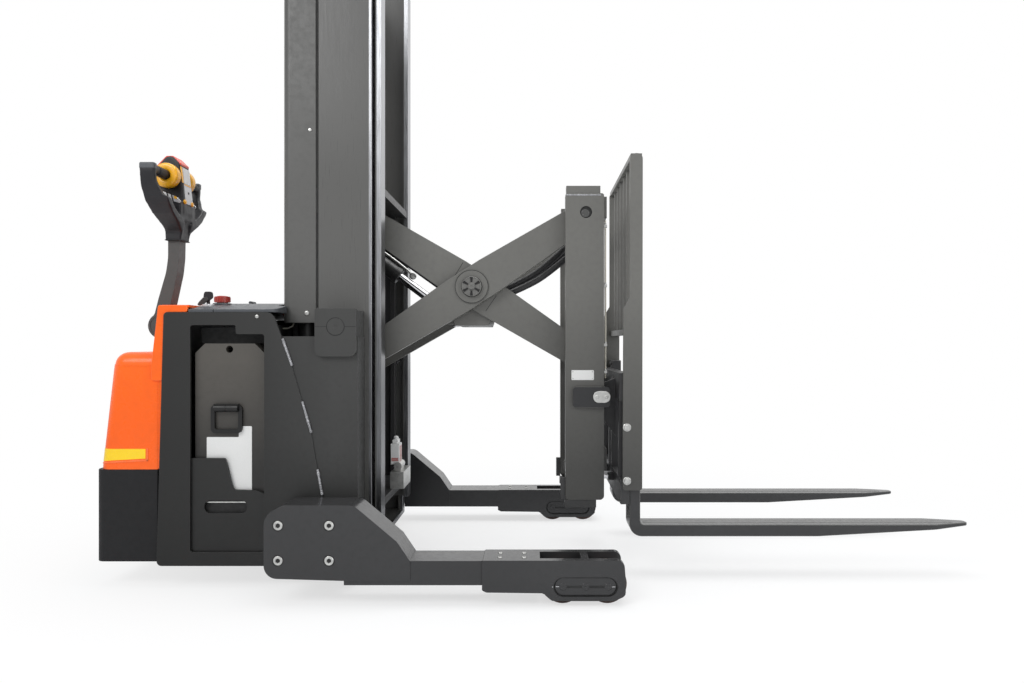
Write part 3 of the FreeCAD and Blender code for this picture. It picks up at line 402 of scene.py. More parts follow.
def outline(bm, points, axis, a, b):
    """A closed outline given thickness from a to b along an axis; x,z points for y."""
    def corner(p, level):
        if axis == "y":
            return at(p[0], level, p[1])
        return at(p[0], p[1], level)
    skin(bm, [[bm.verts.new(corner(p, level)) for p in points] for level in (a, b)])


def bars(bm, x0, x1, y0, y1, z0, z1):
    """A bar and its mirror image on the truck's other side."""
    for sign, _ in SIDES:
        bar(bm, x0, x1, y0 * sign, y1 * sign, z0, z1)


def discs(bm, centre, profile, sides=32, flats=0):
    """A turned profile that faces outwards, and its mirror image."""
    x, y, z = centre
    for sign, _ in SIDES:
        turned(bm, (x, y * sign, z), "y", [(r, h * sign) for r, h in profile], sides, flats)


def plates(bm, points, y0, y1):
    """An x,z outline between two planes, and its mirror image."""
    for sign, _ in SIDES:
        outline(bm, points, "y", y0 * sign, y1 * sign)


def rounded(points, radius, steps=5):
    """The outline's corners replaced by arcs; short edges get smaller ones."""
    result = []
    count = len(points)
    for i in range(count):
        p = Vector(points[i])
        before = Vector(points[i - 1]) - p
        after = Vector(points[(i + 1) % count]) - p
        half = before.angle(after) / 2
        if half > math.radians(88):
            result.append(tuple(p))
            continue
        reach = min(radius / math.tan(half), before.length / 2.02, after.length / 2.02)
        r = reach * math.tan(half)
        before.normalize()
        after.normalize()
        centre = p + (before + after).normalized() * (r / math.sin(half))
        start = p + before * reach - centre
        end = p + after * reach - centre
        a0 = math.atan2(start.y, start.x)
        sweep = (math.atan2(end.y, end.x) - a0 + math.pi) % (2 * math.pi) - math.pi
        result += [(centre.x + r * math.cos(a0 + sweep * k / steps),
                    centre.y + r * math.sin(a0 + sweep * k / steps))
                   for k in range(steps + 1)]
    return result


def box_outline(x0, x1, z0, z1, radius, steps=5):
    return rounded([(x0, z0), (x0, z1), (x1, z1), (x1, z0)], radius, steps)


print("strokes ready")


# %% From a bmesh to a finished piece
def settle(obj):
    """Applies what modifiers do, so that the piece is plain mesh."""
    bpy.context.view_layer.update()
    graph = bpy.context.evaluated_depsgraph_get()
    mesh = bpy.data.meshes.new_from_object(obj.evaluated_get(graph), depsgraph=graph)
    obj.modifiers.clear()
    old = obj.data
    obj.data = mesh
    if old.users == 0:
        bpy.data.meshes.remove(old)
    return obj


def discard(obj):
    mesh = obj.data
    bpy.data.objects.remove(obj)
    bpy.data.meshes.remove(mesh)


def mesh_of(name, bm, *materials):
    mesh = bpy.data.meshes.new(name)
    bm.to_mesh(mesh)
    bm.free()
    for material in materials:
        mesh.materials.append(material)
    return mesh


def smooth_to(mesh, angle):
    mesh.shade_smooth()
    mesh.set_sharp_from_angle(angle=math.radians(angle))


def break_edges(obj, width, segments, angle, material):
    """Round edges, width mm wide, where faces meet at more than angle degrees."""
    bevel = obj.modifiers.new("edge", "BEVEL")
    bevel.width = width / 1000
    bevel.segments = segments
    bevel.limit_method = "ANGLE"
    bevel.angle_limit = math.radians(angle)
    bevel.material = material


def weigh_normals(obj):
    obj.modifiers.new("weighted", "WEIGHTED_NORMAL").keep_sharp = True


def template_from(name, bm):
    bmesh.ops.recalc_face_normals(bm, faces=bm.faces)
    mesh = mesh_of(name, bm)
    smooth_to(mesh, 35)
    return placed(name, mesh)


def piece(name, bm, body, material, edge=0.0, edge_material=None, smooth=40, segments=2,
          bore=None):
    """The gathered strokes as one object on a body; bore is a bmesh that is cut away."""
    bmesh.ops.remove_doubles(bm, verts=bm.verts, dist=1e-6)
    bmesh.ops.recalc_face_normals(bm, faces=bm.faces)
    coats = (material, edge_material) if edge_material else (material,)
    obj = placed(name, mesh_of(name, bm, *coats))
    if bore is not None:
        cutter = template_from(name + "_bore", bore)
        hole = obj.modifiers.new("bore", "BOOLEAN")
        hole.operation = "DIFFERENCE"
        hole.solver = "EXACT"
        hole.object = cutter
        settle(obj)
        discard(cutter)
    smooth_to(obj.data, smooth)
    if edge:
        break_edges(obj, edge, segments, 35, 1 if edge_material else -1)
        weigh_normals(obj)
        settle(obj)
    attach(obj, body)
    return obj


def softened(node_name, body, width, material, edge_material, angle=34, melt=0.0):
    """A merged, bevelled copy of a CAD node, which then stands for it.

    A moulded grip has no flat faces at all: melt gives the size in mm of the mesh
    into which it is recast before it is smoothed.
    """
    bm = bmesh.new()
    bm.from_mesh(NODES[node_name].data)
    bmesh.ops.remove_doubles(bm, verts=bm.verts, dist=2e-6)
    bmesh.ops.dissolve_limit(bm, angle_limit=math.radians(0.6), verts=bm.verts, edges=bm.edges)
    for face in bm.faces:
        face.material_index = 0
    obj = placed(node_name + "_soft", mesh_of(node_name + "_soft", bm, material, edge_material))
    break_edges(obj, width, 2, angle, 1)
    smooth_to(obj.data, angle)
    if melt:
        recast = obj.modifiers.new("recast", "REMESH")
        recast.mode = "VOXEL"
        recast.voxel_size = melt / 1000
        recast.use_smooth_shade = True
        relax = obj.modifiers.new("relax", "SMOOTH")
        relax.factor = 0.5
        relax.iterations = 14
    else:
        weigh_normals(obj)
    settle(obj)
    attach(obj, body)
    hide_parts(node_name)
    return obj


print("helpers for pieces ready")

# %% [markdown]
# ## Plates with broken edges
# No cut plate on a real truck has a knife edge: the cutting torch and the paint
# leave it about a millimetre round. A merged copy of each flat-sided solid gets
# that edge with a Bevel modifier, and its new faces take the edge finish, on most
# plates a painted edge highlight with worn flecks.

# %% Softened plates
SOFT_WIDTH = {
    "chassis_frame": (2.2, PAINT, PAINT_EDGE, "charcoal_paint"),
    "battery_case": (3.0, BATTERY, PAINT_EDGE, "battery_grey"),
    "window_covers": (0.5, PAINT, PAINT, "charcoal_paint"),
    "rear_cover": (2.0, ORANGE, ORANGE_EDGE, "orange_paint"),
    "rear_skirt": (2.0, SKIRT, SKIRT, "charcoal_plastic"),
    "top_hood": (2.5, HOOD, HOOD, "hood_plastic"),
    "dash_panel": (2.0, HOOD, HOOD, "hood_plastic"),
    "leg_left": (2.0, LEG_PAINT, PAINT_EDGE, "charcoal_paint"),
    "leg_right": (2.0, LEG_PAINT, PAINT_EDGE, "charcoal_paint"),
    "wheel_bogies": (1.0, LEG_PAINT, LEG_PAINT, "black_steel"),
    "mast_side_covers": (2.0, MAST_PAINT, MAST_PAINT, "charcoal_paint"),
    "lift_carriage": (1.6, CARRIAGE_PAINT, PAINT_EDGE, "charcoal_paint"),
    "valve_block": (1.2, ZINC, ZINC, "zinc"),
    "arm_inner": (2.0, WARM, WARM_EDGE, "charcoal_paint"),
    "arm_outer": (2.0, WARM, WARM_EDGE, "charcoal_paint"),
    "pivot_hubs": (1.2, WARM, WARM_EDGE, "charcoal_paint"),
    "reach_frame": (2.0, WARM, WARM_EDGE, "charcoal_paint"),
    "fork_carriage": (1.8, CARRIAGE_PAINT, PAINT_EDGE, "charcoal_paint"),
    "load_backrest": (1.8, WARM, WARM_EDGE, "charcoal_paint"),
    "forks": (2.5, LEG_PAINT, PAINT_EDGE, "charcoal_paint"),
    "steering_neck": (2.0, NECK, NECK, "charcoal_paint"),
    "tiller_arm": (4.0, NECK, NECK, "black_plastic"),
    "tiller_head": (5.0, BLACK, BLACK, "black_plastic"),
    "throttle_knobs": (7.0, YELLOW, YELLOW, "yellow_plastic"),
}
for node_name, (width, face_mat, edge_mat, slot_name) in SOFT_WIDTH.items():
    made = softened(node_name, BODY_OF[node_name], width, face_mat, edge_mat,
                    melt=3.0 if node_name in ("tiller_head", "throttle_knobs") else 0.0)
    print(made.name, len(made.data.polygons), "faces")

# %% The nodes that stay as they are
LOAD_WHEELS = ("load_wheel_rear_left", "load_wheel_front_left", "load_wheel_rear_right",
               "load_wheel_front_right")
KEPT = {
    "battery_pulls": TRAY_BLACK, "pump_block": BLACK_STEEL, "key_switch": BLACK,
    "emergency_stop": RED, "lift_barrels": BLACK_STEEL, "lift_rods": CHROME,
    "chain_sheaves": RAIL, "lift_chains": CHAIN, "carriage_rollers": ROLLER,
    "reach_barrel": BLACK_STEEL, "reach_rod": CHROME, "tilt_barrels": BLACK_STEEL,
    "tilt_rods": CHROME, "steer_unit": BLACK_STEEL, "drive_wheel": URETHANE,
    **{wheel: URETHANE for wheel in LOAD_WHEELS},
}
for node_name, material in KEPT.items():
    for holder in NODES[node_name].material_slots:
        holder.material = material
print(len(KEPT), "solids keep their shape and get a finish")

# %% [markdown]
# ## Mast rails
# A rolled mast section is painted on its web, while its flanges' faces are swept
# bare by the rollers. One finish does both: it reads how far forward a point lies
# and mixes from paint to streaked steel there, with a ragged border.

# %% Paint that gives way to bare steel
RAGGED = 0.0002             # metres by which the paint's border wanders
BLEND = 0.0015              # metres over which paint thins out to steel


def rail_finish(name, bare_from, bare_to):
    """Bare steel between two stations along the truck, paint elsewhere."""
    mat, tree, coord = new_finish(name)
    wobble = ramp(tree, noise(tree, coord, 40.0, 5.0, (1, 1, 0.3)), 0.3, 0.7, -RAGGED, RAGGED)
    station = maths(tree, "ADD", axis_of(tree, coord, "X"), wobble)
    first, last = (x / 1000 + CENTRE_X for x in (bare_from, bare_to))
    bare = maths(tree, "MULTIPLY", ramp(tree, station, first, first + BLEND, 0, 1),
                 ramp(tree, station, last - BLEND, last, 1, 0))
    streak = noise(tree, coord, 60.0, 4.0, (9, 9, 0.2))
    steel = tint(tree, ramp(tree, streak, 0.3, 0.7, 0, 1), (0.28, 0.285, 0.3), (0.55, 0.56, 0.58))
    paint = tint(tree, ramp(tree, noise(tree, coord, 2.5, 2.0), 0.3, 0.7, 0, 1),
                 (0.084, 0.083, 0.079), (0.098, 0.097, 0.092))
    # Painted light and shade: the paint is the mast's lighter charcoal; the steel darkens towards
    # the floor, the paint towards the mast's top.
    steel = shaded(tree, coord, steel, [("Z", 0.6, 1.6, 0.4, 1.0)])
    paint = shaded(tree, coord, paint, [("Z", 0.95, 2.1, 1.0, 0.62)])
    fill(tree, tree.nodes["Principled BSDF"], {
        "Base Color": tint(tree, bare, paint, steel), "Metallic": bare,
        "Roughness": ramp(tree, streak, 0.3, 0.7, 0.26, 0.4),
        "Normal": relief(tree, coord, 700.0, 0.12, 0.0002, (1, 1, 0.3))})
    return mat


OUTER_RAIL = rail_finish("outer_rail_paint_and_steel", -524, -480)
INNER_RAIL = rail_finish("inner_rail_paint_and_steel", -503, -470)
softened("mast_outer", "chassis", 2.0, OUTER_RAIL, OUTER_RAIL)
softened("mast_inner", "inner_mast", 2.0, INNER_RAIL, INNER_RAIL)
print("rails painted behind, bare in front")

# %% [markdown]
# ## Hardware that repeats
# Bolt heads, nuts and weld ripples are one small shape set down many times, which
# is what Geometry Nodes is for. The first tree reads two attributes of each point,
# the way it faces and the radius of its head, and turns every copy by a seeded
# angle, because no fitter lines up hexagons. The second walks a path at an even
# pitch and lays one ripple of weld at each step, each a little different in size.

# %% Trees for fasteners and weld beads
COMMON = [("Template", "NodeSocketObject", None), ("Finish", "NodeSocketMaterial", None),
          ("Seed", "NodeSocketInt", 7)]


def new_tree(name, inputs):
    tree = bpy.data.node_groups.new(name, "GeometryNodeTree")
    tree.interface.new_socket("Geometry", in_out="INPUT", socket_type="NodeSocketGeometry")
    for label, kind, value in inputs:
        socket = tree.interface.new_socket(label, in_out="INPUT", socket_type=kind)
        if value is not None:
            socket.default_value = value
    tree.interface.new_socket("Geometry", in_out="OUTPUT", socket_type="NodeSocketGeometry")
    return tree, node(tree, "NodeGroupInput").outputs


def close_tree(tree, given, points, turn, scale):
    """Sets the template down on the points, realizes it and gives it its finish."""
    head = node(tree, "GeometryNodeObjectInfo", {"Object": given["Template"]})
    copies = node(tree, "GeometryNodeInstanceOnPoints",
                  {"Points": points, "Instance": head.outputs["Geometry"], "Rotation": turn,
                   "Scale": scale})
    whole = node(tree, "GeometryNodeRealizeInstances", {0: copies.outputs[0]})
    dressed = node(tree, "GeometryNodeSetMaterial",
                   {"Geometry": whole.outputs[0], "Material": given["Finish"]})
    node(tree, "NodeGroupOutput", {0: dressed.outputs[0]})
    return tree


def fastener_tree():
    tree, given = new_tree("fastener_field", COMMON)
    facing = node(tree, "GeometryNodeInputNamedAttribute", {"Name": "facing"},
                  data_type="FLOAT_VECTOR").outputs["Attribute"]
    size = node(tree, "GeometryNodeInputNamedAttribute", {"Name": "head_radius"},
                data_type="FLOAT").outputs["Attribute"]
    align = node(tree, "FunctionNodeAlignRotationToVector", {"Vector": facing}, axis="Z")
    spin = node(tree, "FunctionNodeRandomValue", {"Seed": given["Seed"], 3: 2 * math.pi},
                data_type="FLOAT")
    about = node(tree, "FunctionNodeAxisAngleToRotation",
                 {"Axis": (0, 0, 1), "Angle": spin.outputs[1]})
    turn = node(tree, "FunctionNodeRotateRotation",
                {"Rotation": align.outputs[0], "Rotate By": about.outputs[0]},
                rotation_space="LOCAL")
    return close_tree(tree, given, given["Geometry"], turn.outputs[0], size)


def path_tree(name, spread):
    """Copies at an even pitch along a path, their X axis along it."""
    tree, given = new_tree(name, COMMON + [("Pitch", "NodeSocketFloat", 0.004),
                                           ("Size", "NodeSocketFloat", 0.004)])
    curve = node(tree, "GeometryNodeMeshToCurve", {0: given["Geometry"]})
    steps = node(tree, "GeometryNodeResampleCurve",
                 {"Curve": curve.outputs[0], "Length": given["Pitch"]}, mode="LENGTH")
    tangent = node(tree, "GeometryNodeInputTangent")
    align = node(tree, "FunctionNodeAlignRotationToVector", {"Vector": tangent.outputs[0]},
                 axis="X")
    vary = node(tree, "FunctionNodeRandomValue",
                {"Seed": given["Seed"], 2: 1.0 - spread, 3: 1.0 + spread}, data_type="FLOAT")
    scale = maths(tree, "MULTIPLY", given["Size"], vary.outputs[1])
    return close_tree(tree, given, steps.outputs[0], align.outputs[0], scale)


FASTENERS = fastener_tree()
WELD = path_tree("weld_bead", 0.16)
CHAIN_RUN = path_tree("chain_run", 0.0)
print("trees:", [tree.name for tree in (FASTENERS, WELD, CHAIN_RUN)])


# %% Small templates, a unit in size, that the trees copy
def template(name, strokes):
    bm = bmesh.new()
    for profile, flats in strokes:
        turned(bm, (-CENTRE_X * 1000, 0, 0), "z", [(r * 1000, h * 1000) for r, h in profile],
               sides=flats or 16, flats=flats)
    return template_from(name, bm)


HEX = template("hex_head", [([(1.0, -0.1), (1.0, 0.12), (0.94, 0.16)], 0),
                            ([(0.84, 0.14), (0.84, 0.66), (0.72, 0.76)], 6)])
PAN = template("pan_head", [([(1.0, -0.2), (1.0, 0.14), (0.86, 0.34), (0.5, 0.44),
                              (0.34, 0.44), (0.3, 0.2)], 0)])
bm = bmesh.new()
bmesh.ops.create_uvsphere(bm, u_segments=8, v_segments=6, radius=1.0)
bmesh.ops.scale(bm, vec=(0.62, 1.0, 0.7), verts=bm.verts)
RIPPLE = template_from("weld_ripple", bm)
EYE_R, HALF_PITCH, PLATE_PITCH = 0.42, 0.485, 0.18
bm = bmesh.new()
for level in range(-3, 4):
    ahead = 2 * HALF_PITCH if level % 2 else 0.0
    plate = [(math.cos(a) * EYE_R + math.copysign(HALF_PITCH, math.cos(a)) + ahead,
              math.sin(a) * EYE_R) for a in [math.radians(d) for d in range(0, 360, 36)]]
    skin(bm, [[bm.verts.new((x, level * PLATE_PITCH + side, z)) for x, z in plate]
              for side in (-0.07, 0.07)])
LINK = template_from("leaf_chain_link", bm)
TEMPLATES = [HEX, PAN, RIPPLE, LINK]
print("faces in the templates:", {t.name: len(t.data.polygons) for t in TEMPLATES})


# %% Setting a tree to work
def grow(obj, tree, values):
    """Adds the tree, sets its inputs by identifier, and turns the result to plain mesh."""
    live = obj.modifiers.new("nodes", "NODES")
    live.node_group = tree
    sockets = {s.name: s.identifier for s in tree.interface.items_tree
               if s.item_type == "SOCKET" and s.in_out == "INPUT"}
    for label, value in values.items():
        live[sockets[label]] = value
    return settle(obj)


def fasten(name, body, head, material, items, seed=7):
    """Items are (x, y, z, facing, radius) in drawing millimetres."""
    mesh = bpy.data.meshes.new(name)
    mesh.from_pydata([at(*item[:3]) for item in items], [], [])
    mesh.attributes.new("facing", "FLOAT_VECTOR", "POINT")
    mesh.attributes.new("head_radius", "FLOAT", "POINT")
    for k, item in enumerate(items):
        mesh.attributes["facing"].data[k].vector = item[3]
        mesh.attributes["head_radius"].data[k].value = item[4] / 1000
    obj = grow(placed(name, mesh), FASTENERS,
               {"Template": head, "Finish": material, "Seed": seed})
    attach(obj, body)
    print(name, len(items), "heads", len(obj.data.polygons), "faces")


def follow(name, body, tree, head, material, paths, pitch, size, seed=7):
    """Copies along open paths, each a list of drawing points."""
    points = []
    edges = []
    for path in paths:
        edges += [(len(points) + k, len(points) + k + 1) for k in range(len(path) - 1)]
        points += [at(*p) for p in path]
    mesh = bpy.data.meshes.new(name)
    mesh.from_pydata(points, edges, [])
    obj = grow(placed(name, mesh), tree,
               {"Template": head, "Finish": material, "Seed": seed,
                "Pitch": pitch / 1000, "Size": size / 1000})
    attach(obj, body)
    print(name, len(paths), "paths", len(obj.data.polygons), "faces")


def flip(path):
    return [(x, -y, z) for x, y, z in path]


def weld(name, body, material, paths, pitch, size, seed):
    """Beads along the paths and along their mirror images."""
    follow(name, body, WELD, RIPPLE, material,
           paths + [flip(p) for p in paths], pitch, size, seed)


def both_ways(items):
    return items + [(x, -y, z, (f[0], -f[1], f[2]), r) for x, y, z, f, r in items]


def tube(bm, path, radius, sides=12, samples=8):
    """A round hose or pipe through drawing points, smoothed between them."""
    points = [Vector(p) for p in path]
    ends = [points[0] * 2 - points[1]] + points + [points[-1] * 2 - points[-2]]
    track = []
    for k in range(len(points) - 1):
        a, b, c, d = ends[k:k + 4]
        for j in range(samples):
            t = j / samples
            track.append(0.5 * ((2 * b) + (c - a) * t + (2 * a - 5 * b + 4 * c - d) * t * t
                                + (3 * b - a - 3 * c + d) * t ** 3))
    track.append(points[-1])
    turns = [2 * math.pi * i / sides for i in range(sides)]
    side = None
    rings = []
    for k, p in enumerate(track):
        along = (track[min(k + 1, len(track) - 1)] - track[max(k - 1, 0)]).normalized()
        if side is None:
            side = along.orthogonal().normalized()
        side = (side - along * side.dot(along)).normalized()
        other = along.cross(side)
        rings.append([bm.verts.new(at(*(p + (side * math.cos(a) + other * math.sin(a)) * radius)))
                      for a in turns])
    skin(bm, rings)


print("growers ready")

# %% [markdown]
# ## The rear end
# What an operator touches is at the back: the yellow throttle discs, a red reversing
# button over the top of the tiller, a display, the key and the stop button. The
# reflector lies in a moulded frame and bends round the cover's corner, so its strip
# is made from columns that follow the cover's own plan and its lean.

# %% Tiller head
TILLER_PIN = (-1337, 820)

bm = bmesh.new()
outline(bm, rounded([(-1350, 1388), (-1349, 1397), (-1314, 1432.6), (-1289, 1432.6),
                     (-1261.5, 1406), (-1262, 1397), (-1290, 1400), (-1330, 1392)], 5), "y",
        -36, 36)
piece("reversing_button", bm, "tiller", BUTTON_RED, edge=2.5)
bm = bmesh.new()
outline(bm, [(-1263.5, 1394), (-1261.8, 1394), (-1251.5, 1300), (-1248, 1262), (-1252, 1262),
             (-1256, 1300)], "y", -24, 38)
piece("display_frame", bm, "tiller", SILVER, edge=1.2)
bm = bmesh.new()
outline(bm, [(-1262.6, 1392), (-1260.2, 1392), (-1254.4, 1336), (-1257.4, 1336)], "y",
        -21, 35)
piece("display_plate", bm, "tiller", PLATE_WHITE, edge=0.6)
bm = bmesh.new()
outline(bm, [(-1264.5, 1394), (-1261.2, 1394), (-1254.6, 1336), (-1257, 1336)], "y",
        -37, -24.5)
outline(bm, [(-1257, 1334), (-1254.2, 1334), (-1253.8, 1329), (-1257, 1329)], "y", -21, 35)
piece("display_yellow_edge", bm, "tiller", YELLOW, edge=0.8)
bm = bmesh.new()
turned(bm, (-1252.5, 8, 1304), "x", [(4.5, -3), (4.5, 1.2), (3.6, 2)], sides=20)
for x, drop in ((-1300, 0), (-1284, 6)):
    plates(bm, [(x, 1297 - drop), (x + 5, 1295 - drop), (x + 12, 1268 - drop),
                (x + 7, 1270 - drop)], 68.4, 69.6)
bar(bm, -1317.2, -1261.2, -40.5, 40.5, 1127.6, 1130.4)
piece("tiller_dark_lines", bm, "tiller", SHADE_AND_JOINT_DARK)
print("display and button set in")

# %% [markdown]
# Both wings of the tiller's head carry the same bezel, horn button, ribbed grip
# and cap, so one loop makes them. The grip's ribs are steps in one turned profile.

# %% Wings, grips and the tiller's pin
GRIP_PROFILE = [(16.0, 0)]
for rib in range(0, 54, 6):
    GRIP_PROFILE += [(17.6, rib + 1.5), (17.6, rib + 4.5), (16.6, rib + 5.2), (16.6, rib + 6.8)]
GRIP_PROFILE += [(17.6, 57), (16.4, 59)]
for sign, side in SIDES:
    bm = bmesh.new()
    outline(bm, rounded([(-1337, 1303), (-1316, 1301), (-1288, 1290), (-1262, 1278),
                         (-1249, 1266), (-1250, 1256), (-1280, 1264), (-1310, 1278),
                         (-1333, 1290)], 4), "y", 64 * sign, 68.6 * sign)
    piece("bezel_" + side, bm, "tiller", SILVER, edge=1.4)
    bm = bmesh.new()
    outline(bm, rounded([(-1273, 1283), (-1262, 1279), (-1259, 1269), (-1270, 1272)], 3), "y",
            68 * sign, 71 * sign)
    turned(bm, (-1249, 30 * sign, 1267), "x", [(8, -3), (8, 3), (6, 5)], sides=20)
    piece("horn_button_" + side, bm, "tiller", YELLOW, edge=0.8)
    bm = bmesh.new()
    turned(bm, (-1298, 92 if sign > 0 else -151, 1355), "y", GRIP_PROFILE, sides=28)
    piece("grip_" + side, bm, "tiller", BLACK, smooth=50)
    bm = bmesh.new()
    outline(bm, rounded([(-1334.6, 1352), (-1334.2, 1374.6), (-1282, 1374.6),
                         (-1282, 1352)], 5), "y", 174.6 * sign, 199 * sign)
    piece("wing_cap_" + side, bm, "tiller", HOOD, edge=9, segments=4)
bm = bmesh.new()
x, z = TILLER_PIN
discs(bm, (x, 31, z), [(23, 0), (23, 1.2), (20, 2.0), (17, 2.0)])
discs(bm, (x, 43.5, z), [(13.5, 0), (13.0, 1.6), (9, 2.6)])
piece("tiller_pin_ends", bm, "steering", NECK, smooth=30)
print("tiller dressed")

# %% Key and stop
STOP = Vector((-1030, -250))
RIBS = 18

bm = bmesh.new()
turned(bm, (-1045, -330, 876), "z", [(20, 0), (20, 5), (18, 7), (14.6, 7.4)], sides=32)
piece("key_bezel", bm, "chassis", SILVER, smooth=35)
bm = bmesh.new()
outline(bm, rounded([(-1046, 893), (-1040, 899), (-1049, 908), (-1060, 905), (-1074, 890),
                     (-1080, 880), (-1070, 878), (-1058, 884)], 4, 4), "y", -337, -329)
piece("key_fob", bm, "chassis", BLACK_STEEL, edge=1.4)
bm = bmesh.new()
turned(bm, (*STOP, 884), "z", [(31, 0), (31, 4), (29, 6), (18.5, 6.4)], sides=40)
piece("stop_collar", bm, "chassis", HOOD, smooth=35)
bm = bmesh.new()
for k in range(RIBS):
    a = 2 * math.pi * k / RIBS
    outward = Vector((math.cos(a), math.sin(a)))
    sideways = outward.orthogonal()
    outline(bm, [tuple(STOP + outward * r + sideways * w)
                 for r, w in ((23.5, -2.2), (26.2, -1.5), (26.2, 1.5), (23.5, 2.2))],
            "z", 895, 909)
turned(bm, (*STOP, 911.4), "z", [(20, 0), (17, 2.4), (9, 3.6), (3, 3.8)], sides=36)
piece("stop_button_ribs", bm, "chassis", RED, smooth=40)
print("key and stop dressed")

# %% Reflector that bends round the cover's corner
COVER_REAR, COVER_FOOT, COVER_LEAN = -1345.0, 361.0, 0.113
COVER_HALF, COVER_R = 440, 40
FLANK_STEPS, CORNER_STEPS = 8, 9


def cover_plan(z, out, sign, x_from, rear=30):
    """Points of the cover's outside at height z, out millimetres proud of it."""
    back = COVER_REAR + (z - COVER_FOOT) * COVER_LEAN
    bend_x = back + COVER_R
    bend_y = COVER_HALF - COVER_R
    points = [(x_from + (bend_x - x_from) * k / FLANK_STEPS, sign * (COVER_HALF + out), z)
              for k in range(FLANK_STEPS + 1)]
    for k in range(1, CORNER_STEPS + 1):
        a = math.radians(90 * k / CORNER_STEPS)
        points.append((bend_x - (COVER_R + out) * math.sin(a),
                       sign * (bend_y + (COVER_R + out) * math.cos(a)), z))
    points.append((back - out, sign * (bend_y - rear), z))
    return points


def cover_strip(bm, low, high, out, sign, x_from):
    """low and high give the strip's edges from its front end to its rear end."""
    rows = []
    for (front_z, rear_z), level in ((low, out), (low, -0.6), (high, -0.6), (high, out)):
        row = []
        for k, (x, y, _) in enumerate(cover_plan(front_z, level, sign, x_from)):
            rise = (rear_z - front_z) * min(k / 16, 1)
            row.append(bm.verts.new(at(x + rise * COVER_LEAN, y, front_z + rise)))
        rows.append(row)
    skin(bm, list(zip(*rows)))


for sign, side in SIDES:
    bm = bmesh.new()
    cover_strip(bm, (399, 387), (429, 429), 0.8, sign, -1196)
    piece("reflector_" + side, bm, "chassis", REFLECTOR, smooth=45)
    bm = bmesh.new()
    cover_strip(bm, (391, 379), (396, 384), 2.0, sign, -1188)
    outline(bm, [(-1193, 391), (-1187.5, 391), (-1187.5, 432), (-1193, 432)], "y",
            438 * sign, 442 * sign)
    piece("reflector_frame_" + side, bm, "chassis", ORANGE_EDGE, edge=0.8,
          smooth=45)
print("reflectors laid")

# %% [markdown]
# The cover's moulded top is a grid of points whose height falls away in a quarter
# circle along the sides and the rear. The steering neck comes up through it, so the
# hole is bored with a Boolean modifier that is applied at once. Beside it the dash
# panel's flanks close the step up to the lid.

# %% The cover's crown and the panel's flanks
CROWN_X, CROWN_Y, CROWN_FRONT, CROWN_R = -1264.5, 398, -1159, 42
CROWN_Z, CROWN_RISE = 688.0, 41.5
STEER_X = -1222
# How far in from the edge each step of the quarter circle lies.
ROLL = [CROWN_R * (1 - math.cos(math.pi / 2 * k / 8)) for k in range(9)]


def crown_point(x, y):
    """The moulded top: flat in the middle, rolled down at the sides and the rear."""
    rear = max(0.0, (CROWN_X - x) / CROWN_R)
    side = max(0.0, (abs(y) - CROWN_Y) / CROWN_R)
    away = min(1.0, max(rear, side))
    if rear > 0 and side > 0:
        squeeze = away / math.hypot(rear, side)
        x = CROWN_X - rear * squeeze * CROWN_R
        y = math.copysign(CROWN_Y + side * squeeze * CROWN_R, y)
    return at(x, y, CROWN_Z + CROWN_RISE * math.sqrt(1 - away * away))


bm = bmesh.new()
xs = [CROWN_X - CROWN_R + roll for roll in ROLL]
xs += [CROWN_X + (CROWN_FRONT - CROWN_X) * k / 6 for k in range(1, 7)]
half = [CROWN_Y + CROWN_R - roll for roll in ROLL]
ys = half + [CROWN_Y * (1 - k / 6) for k in range(1, 12)] + [-y for y in reversed(half)]
grid = [[bm.verts.new(crown_point(x, y)) for y in ys] for x in xs]
for a, b in zip(grid[:-1], grid[1:]):
    for k in range(len(ys) - 1):
        bm.faces.new((a[k], a[k + 1], b[k + 1], b[k]))
ring = [row[0] for row in grid] + grid[-1][1:] + [row[-1] for row in reversed(grid[:-1])]
ring += list(reversed(grid[0][1:-1]))
low = [bm.verts.new((v.co.x, v.co.y, 0.6855)) for v in ring]
for k in range(len(ring)):
    m = (k + 1) % len(ring)
    bm.faces.new((ring[k], low[k], low[m], ring[m]))
bm.faces.new(low)
neck = bmesh.new()
turned(neck, (STEER_X, 0, 640), "z", [(60, 0), (60, 130)], sides=64)
piece("cover_crown", bm, "chassis", ORANGE, smooth=50, bore=neck)
bm = bmesh.new()
plates(bm, rounded([(-1176, 641), (-1176, 690), (-1155, 875), (-1064, 875), (-1064, 853),
                    (-1126, 853), (-1134, 845), (-1142, 641)], 7, 4), 437, 446.5)
plates(bm, [(-1168, 646), (-1138, 646), (-1146, 367), (-1168, 367)], 432, 439.4)
piece("panel_sides", bm, "chassis", ORANGE, edge=1.5, edge_material=ORANGE_EDGE)
print("rear end dressed")

# %% [markdown]
# ## The battery's window
# Behind the side plate's opening stands the battery trough: a folded pull ring in a
# rolled loop, a pale plate that is left blank, and below it a cover with a slot
# through which the bare bolt strip of the trough shows.

